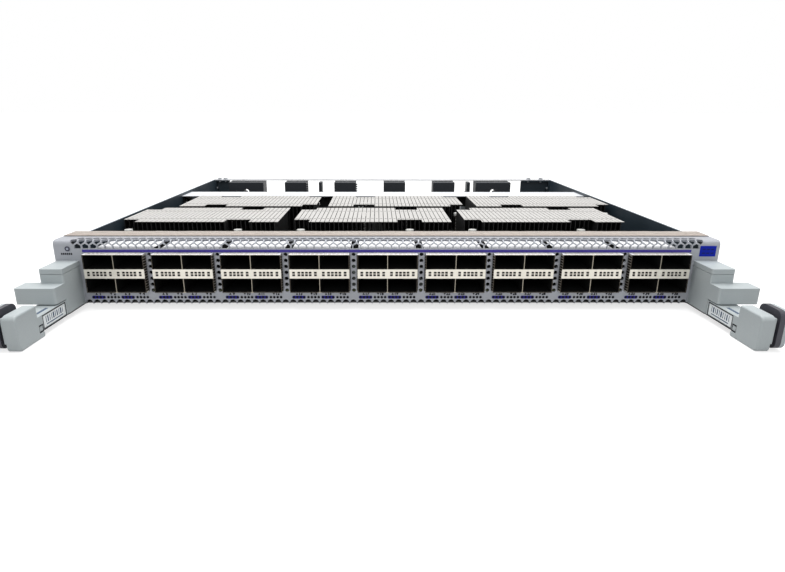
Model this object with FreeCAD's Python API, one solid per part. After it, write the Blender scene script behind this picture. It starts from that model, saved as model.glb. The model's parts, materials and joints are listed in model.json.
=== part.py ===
import FreeCAD, Part
import math
import os

os.makedirs("parts", exist_ok=True)
Vector = FreeCAD.Vector
X_DIR = Vector(1, 0, 0)
Y_DIR = Vector(0, 1, 0)
Z_DIR = Vector(0, 0, 1)

# A one-rack-unit line card: a sheet tray with a port panel in front, heatsinks on its board,
# backplane connectors at the rear and an ejector lever at each end.  Millimetres, +X right,
# +Z up.  While modelling, Y runs back from the panel's front face and Z up from the tray's
# underside; each piece is written with the middle of the underside as the origin.

# ---- panel -------------------------------------------------------------------------------
panel_ear = 17.3              # from the outermost cage's pitch to the panel's end
panel_height = 43.5
panel_sheet = 1.5
panel_bend_radius = 3.0       # outside of the bend along the top edge
panel_corner_radius = 3.0
top_flange_depth = 20.8
side_tab_depth = 11.0         # tabs bent back inside the tray's walls
side_tab_height = 20.0
side_tab_bottom = 14.0

# ---- tray --------------------------------------------------------------------------------
tray_inset = 5.3              # from the panel's end to the tray's outer wall
tray_depth = 370.5
tray_sheet = 1.2
tray_wall_height = 42.0
flange_clearance = 0.3        # behind the panel's top flange, where the walls step down

# ---- board -------------------------------------------------------------------------------
board_width = 416.0
board_depth = 363.0
board_thickness = 2.4
board_front_gap = 1.5         # between the panel's back and the board's front edge
standoff_height = 5.4
standoff_radius = 3.0
standoff_x = (-200.0, -68.0, 0.0, 68.0, 200.0)
standoff_margin = 6.0         # ahead of or behind the parts that a row of standoffs clears
screw_radius = 1.5
screw_head_radius = 2.8
screw_head_height = 2.0
screw_socket_radius = 1.2
screw_socket_depth = 1.2
board_screw_grip = 3.0        # how far a board screw reaches into its standoff
hole_clearance = 0.1          # radial, round every fixed screw

# ---- ports -------------------------------------------------------------------------------
cage_count = 9
cage_pitch = 45.0
cage_width = 39.6
cage_depth = 50.0
cage_sheet = 0.4
cage_protrusion = 4.6         # how far the cages stand out of the panel
cage_gap = 0.3                # cage to the edge of its cut-out, filled by the collar
pocket_height = 9.45
band_height = 6.35            # vented band between the lower and the upper pocket
pocket_depth = 36.0
connector_clearance = 0.2
vent_slot_width = 1.8
vent_slot_height = 1.3
vent_slot_rise = 0.85         # row centres above and below the band's middle
vent_slot_offsets = (1.25, 3.72, 7.2)
card_slot_width = 15.0
card_slot_height = 1.6
card_slot_depth = 6.0
collar_depth = 4.9
collar_front = 3.2            # how far a collar stands in front of the panel

# ---- panel vents and lights --------------------------------------------------------------
hex_pitch = 5.1
hex_flats = 4.3
hex_row_height = 38.9         # middle of the lowest hexagon row
hex_row_pitch = 4.86          # from row to row, along the sheet
hex_floor = 38.0              # the lowest row is cut off flat here
hex_half_count = 40           # hexagons each side of the middle one
strip_hole_radius = 1.3
strip_hole_pitch = 4.12
strip_hole_first = 9.4
strip_hole_count = 7
foot_vent_radius = 2.15
foot_vent_height = 0.7
lights_per_cage = 4
light_pitch = 9.8
light_pipe_width = 9.0
light_pipe_depth = 6.0
light_pipe_drop = 2.8         # below the board's underside
status_radius = 1.9
status_inset = 9.2            # from the panel's end
status_height = 38.0
status_length = 4.0
status_rim = 0.5
status_proud = 0.4            # ahead of the panel's face
status_rim_depth = 1.0
label_sheet = 0.3
ear_label_width = 10.6
ear_label_height = 7.1
ear_label_inset = 2.35
ear_label_bottom = 32.9

# ---- conductive gasket on the top flange -------------------------------------------------
gasket_width = 6.8
gasket_height = 2.6
gasket_end_margin = 0.6       # from the panel's end
gasket_corner = 5.5           # cut off each rear corner
gasket_rear_margin = 0.4      # from the flange's rear edge
gasket_round = 0.9

# ---- heatsinks ---------------------------------------------------------------------------
sink_wall_gap = 1.3           # front row to the left wall, rear row to the right wall
sink_gap = 9.2                # between two heatsinks of a row
sink_stagger = 21.6           # how far the rear row sits to the right of the front row
sink_depth = 68.0
sink_base = 4.0
sink_top = 41.4
fin_pitch = 3.6
fin_sheet = 0.45
fin_gap = 0.5                 # slit between the folded tops of two fins
front_row_y = 78.0
rear_row_y = 156.0
notch_depth = 10.0
corner_notch_width = 14.0
inner_notch_width = 19.5
inner_notch_place = 94.0      # from the side that has the corner notch
spring_screw_head_radius = 3.2
spring_screw_head_height = 2.2
spring_screw_top = 34.6
spring_screw_edge = 3.0       # from the heatsink's front or rear edge
spring_screw_slot_width = 1.0
spring_screw_slot_depth = 1.2
spring_radius = 2.8
spring_wall = 0.9
package_size = 52.0
package_height = 3.0

# ---- air baffle, rear frame and connectors -----------------------------------------------
baffle_y = 237.0
baffle_depth = 32.5
baffle_top = 39.2
baffle_sheet = 1.0
baffle_lip = 15.0
baffle_tab_height = 14.0
baffle_relief = 4.0           # corner cut away between the lip and a tab
rail_sheet = 0.9
rail_depth = 7.5              # of the rail and of the brackets under it
rail_setback = 0.5            # from the tray's rear edge to the rail's
left_bracket_width = 17.0
right_bracket_width = 35.0
bracket_sheet = 1.2
bracket_hole_radius = 2.4
bracket_hole_shares = (0.15, 0.4)     # of the height between board and rail
rail_screw_shares = (0.3, 0.75)       # of the bracket's width, from the wall
bracket_screw_drop = 10.0     # upper wall screw below the rail
bracket_screw_rise = 6.0      # lower wall screw above the board
backplane_count = 6
backplane_pitch = 62.0
backplane_middle = -16.1
backplane_width = 27.0
backplane_end_width = 43.5    # of the first and the last one
backplane_bore_radius = 3.6   # guide bore through those two
backplane_bore_height = 28.3
backplane_depth = 22.0
backplane_height = 31.0
backplane_slot_rows = 7
backplane_slot_gap = 1.4
backplane_slot_depth = 7.0
guide_gaps = (1, 4)           # stand behind which connectors of the row, counted from 0
guide_width = 3.8
guide_pin_radius = 2.0
guide_pin_length = 9.0        # behind its block
guide_setback_share = 1 / 3   # of the connectors' depth, left free behind the guide block

# ---- power and control parts on the board ------------------------------------------------
power_width = 58.0
power_depth = 37.0
power_height = 12.7
power_y = 285.0
power_places = (-150.0, -70.0, 10.0)
power_groove_depth = 1.5
power_groove_shares = (0.3, 0.5)      # of the module's height
inductor_size = 10.0
inductor_height = 7.0
inductor_chamfer = 0.8
inductor_pitch = 22.0
inductor_count = 16
inductor_y = 64.0
capacitor_radius = 5.0
capacitor_height = 12.0
capacitor_round = 0.8
capacitor_pitch = 13.0
capacitor_count = 6
capacitor_x = 70.0
capacitor_y = 296.0
chip_size = 23.0
chip_height = 1.8
chip_pitch = 32.0
chip_count = 4
chip_x = 80.0
chip_y = 322.0

# ---- ejectors (sizes for the right-hand one; the left-hand one mirrors it) ----------------
ejector_reach = 15.7          # inner face, from the panel's end
housing_width = 14.8
housing_depth = 22.0
housing_foot = 0.0
housing_top = 30.0
housing_floor = 2.0
housing_wall = 2.0
housing_back = 2.0
housing_round = 1.2
housing_screw_inset = 4.8     # from the ejector's inner face
housing_screw_length = 8.0
housing_screw_z = (16.0, 23.0)
cover_thickness = 3.2
cover_seam = 0.25
cover_key_inset = 2.0
shelf_width = 25.0
shelf_depth = 11.3
shelf_bottom = 10.6
shelf_height = 10.2
shelf_round = 1.5
pin_radius = 2.0
pin_set_in = 6.0              # how far the pin is let in above the lever
pin_fit = 0.05
pivot_inset = 7.3             # from the ejector's inner face
pivot_y = -11.0
lever_gap = 0.3               # above and below the lever's root
lever_top = 9.8
lever_bottom = 0.2
lever_width = 13.3
lever_root_width = 9.0
lever_end = 56.4              # front end, ahead of the panel
lever_swing_gap = 0.5
cam_reach = 8.4
cam_width = 4.0
label_recess = 0.5
label_edge = 0.3              # left free round the label in its recess
arm_label_length = 24.0
arm_label_height = 7.2
arm_label_start = 25.0
catch_length = 4.2
catch_slot = 0.9
catch_heights = (0.6, 4.2)    # middles of the latch's two slots
catch_start = 50.4
grip_thickness = 7.0
grip_proud = 0.7              # inboard of the lever's inner face
grip_front = 75.2
grip_rear = 55.5
grip_bottom = -3.3
grip_top = 17.8
grip_foot = 4.6               # how far the foot reaches back under the arm
grip_nose_radius = 3.0
grip_round = 1.2
tongue_thickness = 1.5
tongue_length = 18.0
tongue_bottom = 1.5
tongue_top = 16.5
trigger_gap = 1.5
trigger_travel = 1.2
trigger_end_gap = 0.3         # left between spring and bore end when pressed home
trigger_thickness = 3.0
trigger_length = 18.0
trigger_front = 75.0
trigger_bottom = -1.9
trigger_height = 22.5
trigger_round = 4.0
pad_thickness = 2.8
pad_round = 1.0
stem_radius = 1.5
stem_fit = 0.06
stem_length = 3.6
stem_spacing = 9.0
spring_bore_radius = 2.3
spring_bore_depth = 5.2
trigger_spring_radius = 1.9
trigger_spring_wall = 0.5

# ---- places that follow from the sizes above ---------------------------------------------
panel_width = cage_count * cage_pitch + 2 * panel_ear
tray_width = panel_width - 2 * tray_inset
ejector_inner = panel_width / 2 - ejector_reach
rear_y = panel_sheet + tray_depth
wall_inner = tray_width / 2 - tray_sheet
board_bottom = tray_sheet + standoff_height
board_top = board_bottom + board_thickness
board_front = panel_sheet + board_front_gap
cage_bottom = board_top
cage_top = cage_bottom + 2 * cage_sheet + 2 * pocket_height + band_height
cage_front = -cage_protrusion
column_width = (cage_width - 3 * cage_sheet) / 2
package_top = board_top + package_height
fin_bottom = package_top + sink_base
sink_width = (2 * wall_inner - 2 * sink_wall_gap - 2 * sink_gap - sink_stagger) / 3
standoff_y = (
    cage_front + cage_depth + standoff_margin,
    (front_row_y + sink_depth + rear_row_y) / 2,
    baffle_y,
    baffle_y + baffle_depth + standoff_margin,
    rear_y - backplane_depth - standoff_margin,
)
pivot_x = ejector_inner + pivot_inset
housing_screw_x = ejector_inner + housing_screw_inset
tongue_inner = ejector_inner - grip_proud + grip_thickness
tongue_outer = tongue_inner + tongue_thickness
trigger_inner = tongue_outer + trigger_gap
trigger_outer = trigger_inner + trigger_thickness
stem_y = -(trigger_front - trigger_length / 2)
stem_z = [(tongue_bottom + tongue_top + side * stem_spacing) / 2 for side in (-1, 1)]


# ---- shape helpers -----------------------------------------------------------------------
def block(x, y, z):
    """A box between pairs of X, Y and Z."""
    corner = Vector(min(x), min(y), min(z))
    return Part.makeBox(abs(x[1] - x[0]), abs(y[1] - y[0]), abs(z[1] - z[0]), corner)


def rod(radius, start, direction, length):
    """A cylinder from a start point along a direction."""
    return Part.makeCylinder(radius, length, Vector(*start), direction)


def prism(points, offset, lift):
    """A flat outline, given as points, pushed along one axis."""
    wire = Part.makePolygon([Vector(*p) for p in points] + [Vector(*points[0])])
    face = Part.Face(wire)
    face.translate(offset)
    return face.extrude(lift)


def rounded(shape, radius, keep):
    """The shape with the edges that the test keeps filleted."""
    edges = [edge for edge in shape.Edges if keep(edge)]
    return shape.makeFillet(radius, edges)


def straight_along(edge, axis):
    """Whether an edge is a straight line parallel to an axis."""
    if not isinstance(edge.Curve, Part.Line):
        return False
    return edge.tangentAt(edge.FirstParameter).cross(axis).Length < 1e-6


def centre(edge):
    """The middle of an edge's bounding box."""
    return edge.BoundBox.Center


def spread(count, pitch, middle):
    """Evenly pitched places round a middle."""
    return [middle + pitch * (i - (count - 1) / 2) for i in range(count)]


def mirrored(shape):
    return shape.mirror(Vector(0, 0, 0), X_DIR)


def write(name, *solids):
    """Move the solids to the part's own origin and write one STEP file."""
    shape = Part.makeCompound(list(solids)) if len(solids) > 1 else solids[0].copy()
    shape.translate(Vector(0, -rear_y / 2, 0))
    shape.exportStep("parts/%s.step" % name)


# ---- rows of repeated pieces -------------------------------------------------------------
cage_places = spread(cage_count, cage_pitch, 0)
backplane_places = spread(backplane_count, backplane_pitch, backplane_middle)
bracket_widths = ((-1, left_bracket_width), (1, right_bracket_width))   # side of the card first


# ---- panel -------------------------------------------------------------------------------
def hexagon(place, normal):
    """A hexagonal cutter with its flats across X, through a sheet at a place."""
    corner_radius = hex_flats / math.sqrt(3)
    up = normal.cross(X_DIR)
    points = []
    for i in range(6):
        angle = math.radians(60 * i)
        points.append(place + X_DIR * (corner_radius * math.sin(angle))
                      + up * (corner_radius * math.cos(angle)) - normal * (2 * panel_sheet))
    wire = Part.makePolygon(points + points[:1])
    return Part.Face(wire).extrude(normal * (4 * panel_sheet))


def hexagon_rows():
    """Three staggered rows that run from the front face, round the bend, onto the flange."""
    bend_start = panel_height - panel_bend_radius
    bend_angle = (hex_row_height + hex_row_pitch - bend_start) / panel_bend_radius
    bend_place = Vector(0, panel_bend_radius * (1 - math.cos(bend_angle)),
                        bend_start + panel_bend_radius * math.sin(bend_angle))
    bend_normal = Vector(0, -math.cos(bend_angle), math.sin(bend_angle))
    bend_length = panel_bend_radius * math.pi / 2
    flange_y = (panel_bend_radius + hex_row_height + 2 * hex_row_pitch
                - bend_start - bend_length)
    floor = block((-hex_pitch, hex_pitch), (-2 * panel_sheet, 2 * panel_sheet),
                  (hex_row_height - hex_pitch, hex_floor))
    lowest = hexagon(Vector(0, 0, hex_row_height), Vector(0, -1, 0)).cut(floor)
    cutters = []
    for i in range(-hex_half_count, hex_half_count + 1):
        x = i * hex_pitch
        cutters.append(lowest.translated(Vector(x, 0, 0)))
        cutters.append(hexagon(Vector(x, flange_y, panel_height), Z_DIR))
    for i in range(-hex_half_count - 1, hex_half_count + 1):
        x = (i + 0.5) * hex_pitch
        cutters.append(hexagon(bend_place + X_DIR * x, bend_normal))
    return cutters


def faceplate():
    half = panel_width / 2
    inner = panel_bend_radius - panel_sheet
    sheet = block((-half, half), (0, top_flange_depth), (0, panel_height))
    sheet = rounded(sheet, panel_bend_radius,
                    lambda e: straight_along(e, X_DIR) and centre(e).z > panel_height / 2
                    and centre(e).y < 0.01)
    hollow = block((-half - 1, half + 1), (panel_sheet, top_flange_depth + 1),
                   (-1, panel_height - panel_sheet))
    hollow = rounded(hollow, inner,
                     lambda e: straight_along(e, X_DIR) and centre(e).z > panel_height / 2
                     and centre(e).y < top_flange_depth / 2)
    sheet = sheet.cut(hollow)
    sheet = rounded(sheet, panel_corner_radius,
                    lambda e: straight_along(e, Z_DIR) and centre(e).y > top_flange_depth - 0.01
                    and abs(centre(e).x) > half - 0.01)
    cutters = hexagon_rows()
    for x in cage_places:
        reach = cage_width / 2 + cage_gap
        cutters.append(block((x - reach, x + reach), (-1, panel_sheet + 1),
                             (cage_bottom - cage_gap, cage_top + cage_gap)))
    for x in cage_places[1:]:
        for i in range(strip_hole_count):
            z = strip_hole_first + i * strip_hole_pitch
            cutters.append(rod(strip_hole_radius, (x - cage_pitch / 2, -1, z), Y_DIR,
                               panel_sheet + 2))
    for i in range(-hex_half_count, hex_half_count):
        cutters.append(rod(foot_vent_radius, ((i + 0.5) * hex_pitch, -1, foot_vent_height),
                           Y_DIR, panel_sheet + 2))
    cutters.append(rod(status_radius, (-half + status_inset, -1, status_height), Y_DIR,
                       panel_sheet + 2))
    for side in (-1, 1):
        for z in housing_screw_z:
            cutters.append(rod(screw_radius + hole_clearance,
                               (side * housing_screw_x, -1, z), Y_DIR, panel_sheet + 2))
    sheet = sheet.cut(Part.makeCompound(cutters))
    for side in (-1, 1):
        tab = block((side * (wall_inner - tray_sheet), side * wall_inner),
                    (panel_sheet, side_tab_depth),
                    (side_tab_bottom, side_tab_bottom + side_tab_height))
        for z in side_screw_heights():
            tab = tab.cut(rod(screw_radius + hole_clearance,
                              (side * (wall_inner - 2 * tray_sheet), side_screw_y(), z),
                              X_DIR * side, 3 * tray_sheet))
        sheet = sheet.fuse(tab)
    return sheet.removeSplitter()


def side_screw_y():
    return (panel_sheet + side_tab_depth) / 2


def side_screw_heights():
    middle = side_tab_bottom + side_tab_height / 2
    return (middle - side_tab_height / 4, middle + side_tab_height / 4)


def emi_gasket():
    rear = top_flange_depth - gasket_rear_margin
    half = panel_width / 2 - gasket_end_margin
    strip = block((-half, half), (rear - gasket_width, rear),
                  (panel_height, panel_height + gasket_height))
    strip = strip.makeChamfer(gasket_corner, [e for e in strip.Edges if straight_along(e, Z_DIR)
                                              and centre(e).y > rear - 0.01])
    return rounded(strip, gasket_round,
                   lambda e: straight_along(e, X_DIR) and centre(e).z > panel_height + 0.01)


# ---- tray and board ----------------------------------------------------------------------
def wall_screw_places():
    """Where a screw passes through both walls: Y and Z pairs."""
    places = [(side_screw_y(), z) for z in side_screw_heights()]
    tab_z = baffle_top - baffle_sheet - baffle_tab_height / 2
    places += [(baffle_y + baffle_depth * share, tab_z) for share in (0.25, 0.75)]
    places += [(rail_middle_y(), rail_bottom() - bracket_screw_drop),
               (rail_middle_y(), board_top + bracket_screw_rise)]
    return places


def rail_bottom():
    return tray_wall_height - rail_sheet


def rail_middle_y():
    return rear_y - rail_setback - rail_depth / 2


def tray():
    half = tray_width / 2
    shell = block((-half, half), (panel_sheet, rear_y), (0, tray_wall_height))
    inside = block((-wall_inner, wall_inner), (panel_sheet - 1, rear_y + 1),
                   (tray_sheet, tray_wall_height + 1))
    holes = []
    for side in (-1, 1):
        for y, z in wall_screw_places():
            holes.append(rod(screw_radius + hole_clearance,
                             (side * (wall_inner - 1), y, z), X_DIR * side, tray_sheet + 2))
    step = block((-half - 1, half + 1), (panel_sheet - 1, top_flange_depth + flange_clearance),
                 (panel_height - panel_sheet, tray_wall_height + 1))
    bend = block((-half - 1, half + 1), (panel_sheet - 1, panel_bend_radius),
                 (panel_height - panel_bend_radius, tray_wall_height + 1))
    return shell.cut(inside).cut(step).cut(bend).cut(Part.makeCompound(holes))


def sink_places():
    """For each heatsink: its name, its left edge, its front edge and whether it is turned."""
    places = []
    for i, name in enumerate(("left", "middle", "right")):
        left = sink_wall_gap - wall_inner + i * (sink_width + sink_gap)
        places.append(("heatsink_front_" + name, left, front_row_y, False))
        places.append(("heatsink_rear_" + name, left + sink_stagger, rear_row_y, True))
    return places


def notch_middles(left, turned):
    """Middle of the corner notch and of the inner notch along X, with their widths."""
    corner = corner_notch_width / 2
    inner = inner_notch_place
    if turned:
        corner = sink_width - corner
        inner = sink_width - inner
    return ((left + corner, corner_notch_width), (left + inner, inner_notch_width))


def screw_rows(front):
    """Y of the front and rear screws of a heatsink."""
    return (front + spring_screw_edge, front + sink_depth - spring_screw_edge)


def sink_screw_places():
    return [(x, y) for _, left, front, turned in sink_places()
            for x, _ in notch_middles(left, turned) for y in screw_rows(front)]


def board_screw_places():
    return [(x, y) for y in standoff_y for x in standoff_x]


def main_board():
    half = board_width / 2
    board = block((-half, half), (board_front, board_front + board_depth),
                  (board_bottom, board_top))
    reach = board_thickness + 2
    holes = [rod(screw_radius + hole_clearance, (x, y, board_bottom - 1), Z_DIR, reach)
             for x, y in board_screw_places() + sink_screw_places()]
    return board.cut(Part.makeCompound(holes))


def standoff(x, y):
    post = rod(standoff_radius, (x, y, tray_sheet), Z_DIR, standoff_height)
    return post.cut(rod(screw_radius + hole_clearance, (x, y, tray_sheet - 1), Z_DIR,
                        standoff_height + 2))


def screw(place, direction, length):
    """A pan-head screw whose head seats at the place and whose shank runs along a direction."""
    start = Vector(*place)
    shank = Part.makeCylinder(screw_radius, length, start, direction)
    head = Part.makeCylinder(screw_head_radius, screw_head_height, start, direction * -1)
    socket = Part.makeCylinder(screw_socket_radius, screw_socket_depth,
                               start - direction * screw_head_height, direction)
    return head.fuse(shank).removeSplitter().cut(socket)


# ---- ports -------------------------------------------------------------------------------
def column_left_edges(x):
    """Left inner face of the two port columns of a cage."""
    left = x - cage_width / 2 + cage_sheet
    return (left, left + column_width + cage_sheet)


def port_cage(x):
    half = cage_width / 2
    rear = cage_front + cage_depth
    lower = cage_bottom + cage_sheet
    band = lower + pocket_height
    upper = band + band_height
    pocket_end = cage_front + pocket_depth
    cage = block((x - half, x + half), (cage_front, rear), (cage_bottom, cage_top))
    cutters = []
    for left in column_left_edges(x):
        across = (left, left + column_width)
        cutters.append(block(across, (cage_front - 1, pocket_end), (lower, band)))
        cutters.append(block(across, (cage_front - 1, pocket_end), (upper, upper + pocket_height)))
        cutters.append(block(across, (cage_front + cage_sheet, pocket_end),
                             (band + cage_sheet, upper - cage_sheet)))
        cutters.append(block(across, (pocket_end, rear - cage_sheet),
                             (cage_bottom - 1, cage_top - cage_sheet)))
        middle = left + column_width / 2
        for offset in vent_slot_offsets:
            for side in (-1, 1):
                for rise in (-1, 1):
                    slot_x = middle + side * offset
                    slot_z = band + band_height / 2 + rise * vent_slot_rise
                    cutters.append(block(
                        (slot_x - vent_slot_width / 2, slot_x + vent_slot_width / 2),
                        (cage_front - 1, cage_front + 2 * cage_sheet),
                        (slot_z - vent_slot_height / 2, slot_z + vent_slot_height / 2)))
    return cage.cut(Part.makeCompound(cutters))


def port_connector(left):
    """The stacked connector behind one column of two pockets."""
    across = (left + connector_clearance, left + column_width - connector_clearance)
    front = cage_front + pocket_depth + connector_clearance
    rear = cage_front + cage_depth - cage_sheet - connector_clearance
    body = block(across, (front, rear), (board_top, cage_top - cage_sheet - connector_clearance))
    middle = left + column_width / 2
    lower = cage_bottom + cage_sheet + pocket_height / 2
    for z in (lower, lower + pocket_height + band_height):
        body = body.cut(block((middle - card_slot_width / 2, middle + card_slot_width / 2),
                              (front - 1, front + card_slot_depth),
                              (z - card_slot_height / 2, z + card_slot_height / 2)))
    return body


def cage_collar(x):
    """The conductive collar that closes the gap between a cage and its cut-out."""
    half = cage_width / 2
    along = (-collar_front, collar_depth - collar_front)
    ring = block((x - half - cage_gap, x + half + cage_gap), along,
                 (cage_bottom - cage_gap, cage_top + cage_gap))
    hole = block((x - half, x + half), (along[0] - 1, along[1] + 1), (cage_bottom, cage_top))
    return ring.cut(hole)


def light_pipes():
    pipes = []
    for x in cage_places:
        for middle in spread(lights_per_cage, light_pitch, x):
            across = (middle - light_pipe_width / 2, middle + light_pipe_width / 2)
            pipes.append(block(across, (panel_sheet, panel_sheet + light_pipe_depth),
                               (board_bottom - light_pipe_drop, board_bottom)))
    return pipes


def status_lens():
    half = panel_width / 2
    place = (-half + status_inset, -status_proud, status_height)
    lens = rod(status_radius - hole_clearance, place, Y_DIR, status_length)
    rim = rod(status_radius + status_rim, (place[0], panel_sheet, status_height), Y_DIR,
              status_rim_depth)
    return lens.fuse(rim).removeSplitter()


def ear_label():
    right = panel_width / 2 - ear_label_inset
    return block((right - ear_label_width, right), (-label_sheet, 0),
                 (ear_label_bottom, ear_label_bottom + ear_label_height))


# ---- heatsinks ---------------------------------------------------------------------------
def heatsink(left, front, turned):
    """A base with a comb of folded fins, as one outline pushed back, then notched."""
    count = int(sink_width / fin_pitch)
    side_margin = (sink_width - count * fin_pitch + fin_gap) / 2
    outline = [(left, 0, package_top), (left + sink_width, 0, package_top),
               (left + sink_width, 0, fin_bottom)]
    for i in reversed(range(count)):
        web = left + side_margin + i * fin_pitch
        flange_end = web + fin_pitch - fin_gap
        outline += [(web + fin_sheet, 0, fin_bottom), (web + fin_sheet, 0, sink_top - fin_sheet),
                    (flange_end, 0, sink_top - fin_sheet), (flange_end, 0, sink_top),
                    (web, 0, sink_top), (web, 0, fin_bottom)]
    outline.append((left, 0, fin_bottom))
    sink = prism(outline, Vector(0, front, 0), Vector(0, sink_depth, 0))
    cutters = []
    for x, width in notch_middles(left, turned):
        for y in (front - 1, front + sink_depth - notch_depth):
            cutters.append(block((x - width / 2, x + width / 2), (y, y + notch_depth + 1),
                                 (fin_bottom, sink_top + 1)))
        for y in screw_rows(front):
            cutters.append(rod(screw_radius + hole_clearance, (x, y, package_top - 1), Z_DIR,
                               sink_base + 2))
    return sink.cut(Part.makeCompound(cutters))


def spring_screw(x, y):
    head_bottom = spring_screw_top - spring_screw_head_height
    shank = rod(screw_radius, (x, y, board_bottom), Z_DIR, spring_screw_top - board_bottom)
    head = rod(spring_screw_head_radius, (x, y, head_bottom), Z_DIR, spring_screw_head_height)
    slot = block((x - spring_screw_head_radius, x + spring_screw_head_radius),
                 (y - spring_screw_slot_width / 2, y + spring_screw_slot_width / 2),
                 (spring_screw_top - spring_screw_slot_depth, spring_screw_top + 1))
    return shank.fuse(head).removeSplitter().cut(slot)


def screw_spring(x, y):
    """The coil round a spring screw, as the closed sleeve that its turns fill."""
    length = spring_screw_top - spring_screw_head_height - fin_bottom
    sleeve = rod(spring_radius, (x, y, fin_bottom), Z_DIR, length)
    return sleeve.cut(rod(spring_radius - spring_wall, (x, y, fin_bottom - 1), Z_DIR,
                          length + 2))


def chip_package(left, front, turned):
    """The switch chip midway between its heatsink's four screws."""
    middles = [x for x, _ in notch_middles(left, turned)]
    x = sum(middles) / 2
    y = front + sink_depth / 2
    half = package_size / 2
    return block((x - half, x + half), (y - half, y + half), (board_top, package_top))


# ---- air baffle and rear frame -----------------------------------------------------------
def air_baffle():
    top = (baffle_top - baffle_sheet, baffle_top)
    sheet = block((-wall_inner, wall_inner), (baffle_y, baffle_y + baffle_depth), top)
    rear = baffle_y + baffle_depth
    sheet = sheet.fuse(block((-wall_inner + baffle_relief, wall_inner - baffle_relief),
                             (rear - baffle_sheet, rear), (top[0] - baffle_lip, top[0])))
    for side in (-1, 1):
        tab = block((side * (wall_inner - baffle_sheet), side * wall_inner),
                    (baffle_y + baffle_relief, rear - baffle_relief),
                    (top[0] - baffle_tab_height, top[0]))
        for y, z in wall_screw_places()[2:4]:
            tab = tab.cut(rod(screw_radius + hole_clearance,
                              (side * (wall_inner - 2 * baffle_sheet), y, z), X_DIR * side,
                              3 * baffle_sheet))
        sheet = sheet.fuse(tab)
    return sheet.removeSplitter()


def rail_screw_distances(width):
    """How far from the card's middle the screws stand that hold the rail to a bracket."""
    return [wall_inner - width * share for share in rail_screw_shares]


def rear_rail():
    rear = rear_y - rail_setback
    strip = block((-wall_inner, wall_inner), (rear - rail_depth, rear),
                  (rail_bottom(), tray_wall_height))
    holes = [rod(screw_radius + hole_clearance, (side * x, rail_middle_y(), rail_bottom() - 1),
                 Z_DIR, rail_sheet + 2)
             for side, width in bracket_widths for x in rail_screw_distances(width)]
    return strip.cut(Part.makeCompound(holes))


def rear_bracket(width):
    """The right-hand angle that ties the rail, the wall and the tray's floor."""
    rear = rear_y - rail_setback
    front = rear - rail_depth
    inner = wall_inner - width
    plate = block((inner, wall_inner), (rear - bracket_sheet, rear), (tray_sheet, rail_bottom()))
    leg = block((wall_inner - bracket_sheet, wall_inner), (front, rear),
                (tray_sheet, rail_bottom()))
    flange = block((inner, wall_inner), (front, rear),
                   (rail_bottom() - bracket_sheet, rail_bottom()))
    holes = []
    for y, z in wall_screw_places()[4:6]:
        holes.append(rod(screw_radius + hole_clearance, (wall_inner - 2 * bracket_sheet, y, z),
                         X_DIR, 3 * bracket_sheet))
    for x in rail_screw_distances(width):
        holes.append(rod(screw_radius + hole_clearance,
                         (x, rail_middle_y(), rail_bottom() - 2 * bracket_sheet), Z_DIR,
                         3 * bracket_sheet))
    for share in bracket_hole_shares:
        z = board_top + (rail_bottom() - board_top) * share
        holes.append(rod(bracket_hole_radius, (wall_inner - width / 2, front, z), Y_DIR,
                         rail_depth + 1))
    holes.append(block((inner - 1, board_width / 2 + hole_clearance),
                       (front - 1, board_front + board_depth + hole_clearance),
                       (board_bottom - hole_clearance, board_top + hole_clearance)))
    return plate.fuse(leg).fuse(flange).removeSplitter().cut(Part.makeCompound(holes))


def chassis_screws():
    """The screws that pass in through both walls and down through the rear rail."""
    screws = []
    for side, width in bracket_widths:
        for y, z in wall_screw_places():
            screws.append(screw((side * tray_width / 2, y, z), X_DIR * -side, 3 * tray_sheet))
        for x in rail_screw_distances(width):
            screws.append(screw((side * x, rail_middle_y(), tray_wall_height), Z_DIR * -1,
                                rail_sheet + 2 * bracket_sheet))
    return screws


def backplane_connector(x):
    """A shrouded connector whose blade rows open to the rear; the end ones are bored through."""
    at_end = x in (backplane_places[0], backplane_places[-1])
    half = (backplane_end_width if at_end else backplane_width) / 2
    body = block((x - half, x + half), (rear_y - backplane_depth, rear_y),
                 (board_top, board_top + backplane_height))
    slot_height = (backplane_height - backplane_slot_gap) / backplane_slot_rows
    for i in range(backplane_slot_rows):
        bottom = board_top + backplane_slot_gap + i * slot_height
        body = body.cut(block((x - half + backplane_slot_gap, x + half - backplane_slot_gap),
                              (rear_y - backplane_slot_depth, rear_y + 1),
                              (bottom, bottom + slot_height - backplane_slot_gap)))
    if at_end:
        body = body.cut(rod(backplane_bore_radius,
                            (x, rear_y - backplane_depth - 1, backplane_bore_height), Y_DIR,
                            backplane_depth + 2))
    return body


def guide_post(x):
    """A guide block beside the connectors, with its pin pointing back."""
    rear = rear_y - backplane_depth * guide_setback_share
    body = block((x - guide_width / 2, x + guide_width / 2), (rear_y - backplane_depth, rear),
                 (board_top, board_top + backplane_height))
    pin = rod(guide_pin_radius, (x, rear - 1, board_top + backplane_height / 2), Y_DIR,
              guide_pin_length + 1)
    return body.fuse(pin).removeSplitter()


# ---- power and control parts -------------------------------------------------------------
def power_module(x):
    half = power_width / 2
    body = block((x - half, x + half), (power_y, power_y + power_depth),
                 (board_top, board_top + power_height))
    rise = [board_top + power_height * share for share in power_groove_shares]
    for face, inward in ((power_y, 1), (power_y + power_depth, -1)):
        body = body.cut(block((x - half - 1, x + half + 1),
                              (face - inward, face + inward * power_groove_depth), rise))
    return body


def inductor(x):
    half = inductor_size / 2
    body = block((x - half, x + half), (inductor_y - half, inductor_y + half),
                 (board_top, board_top + inductor_height))
    return body.makeChamfer(inductor_chamfer,
                            [e for e in body.Edges
                             if centre(e).z > board_top + inductor_height - 0.01])


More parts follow.
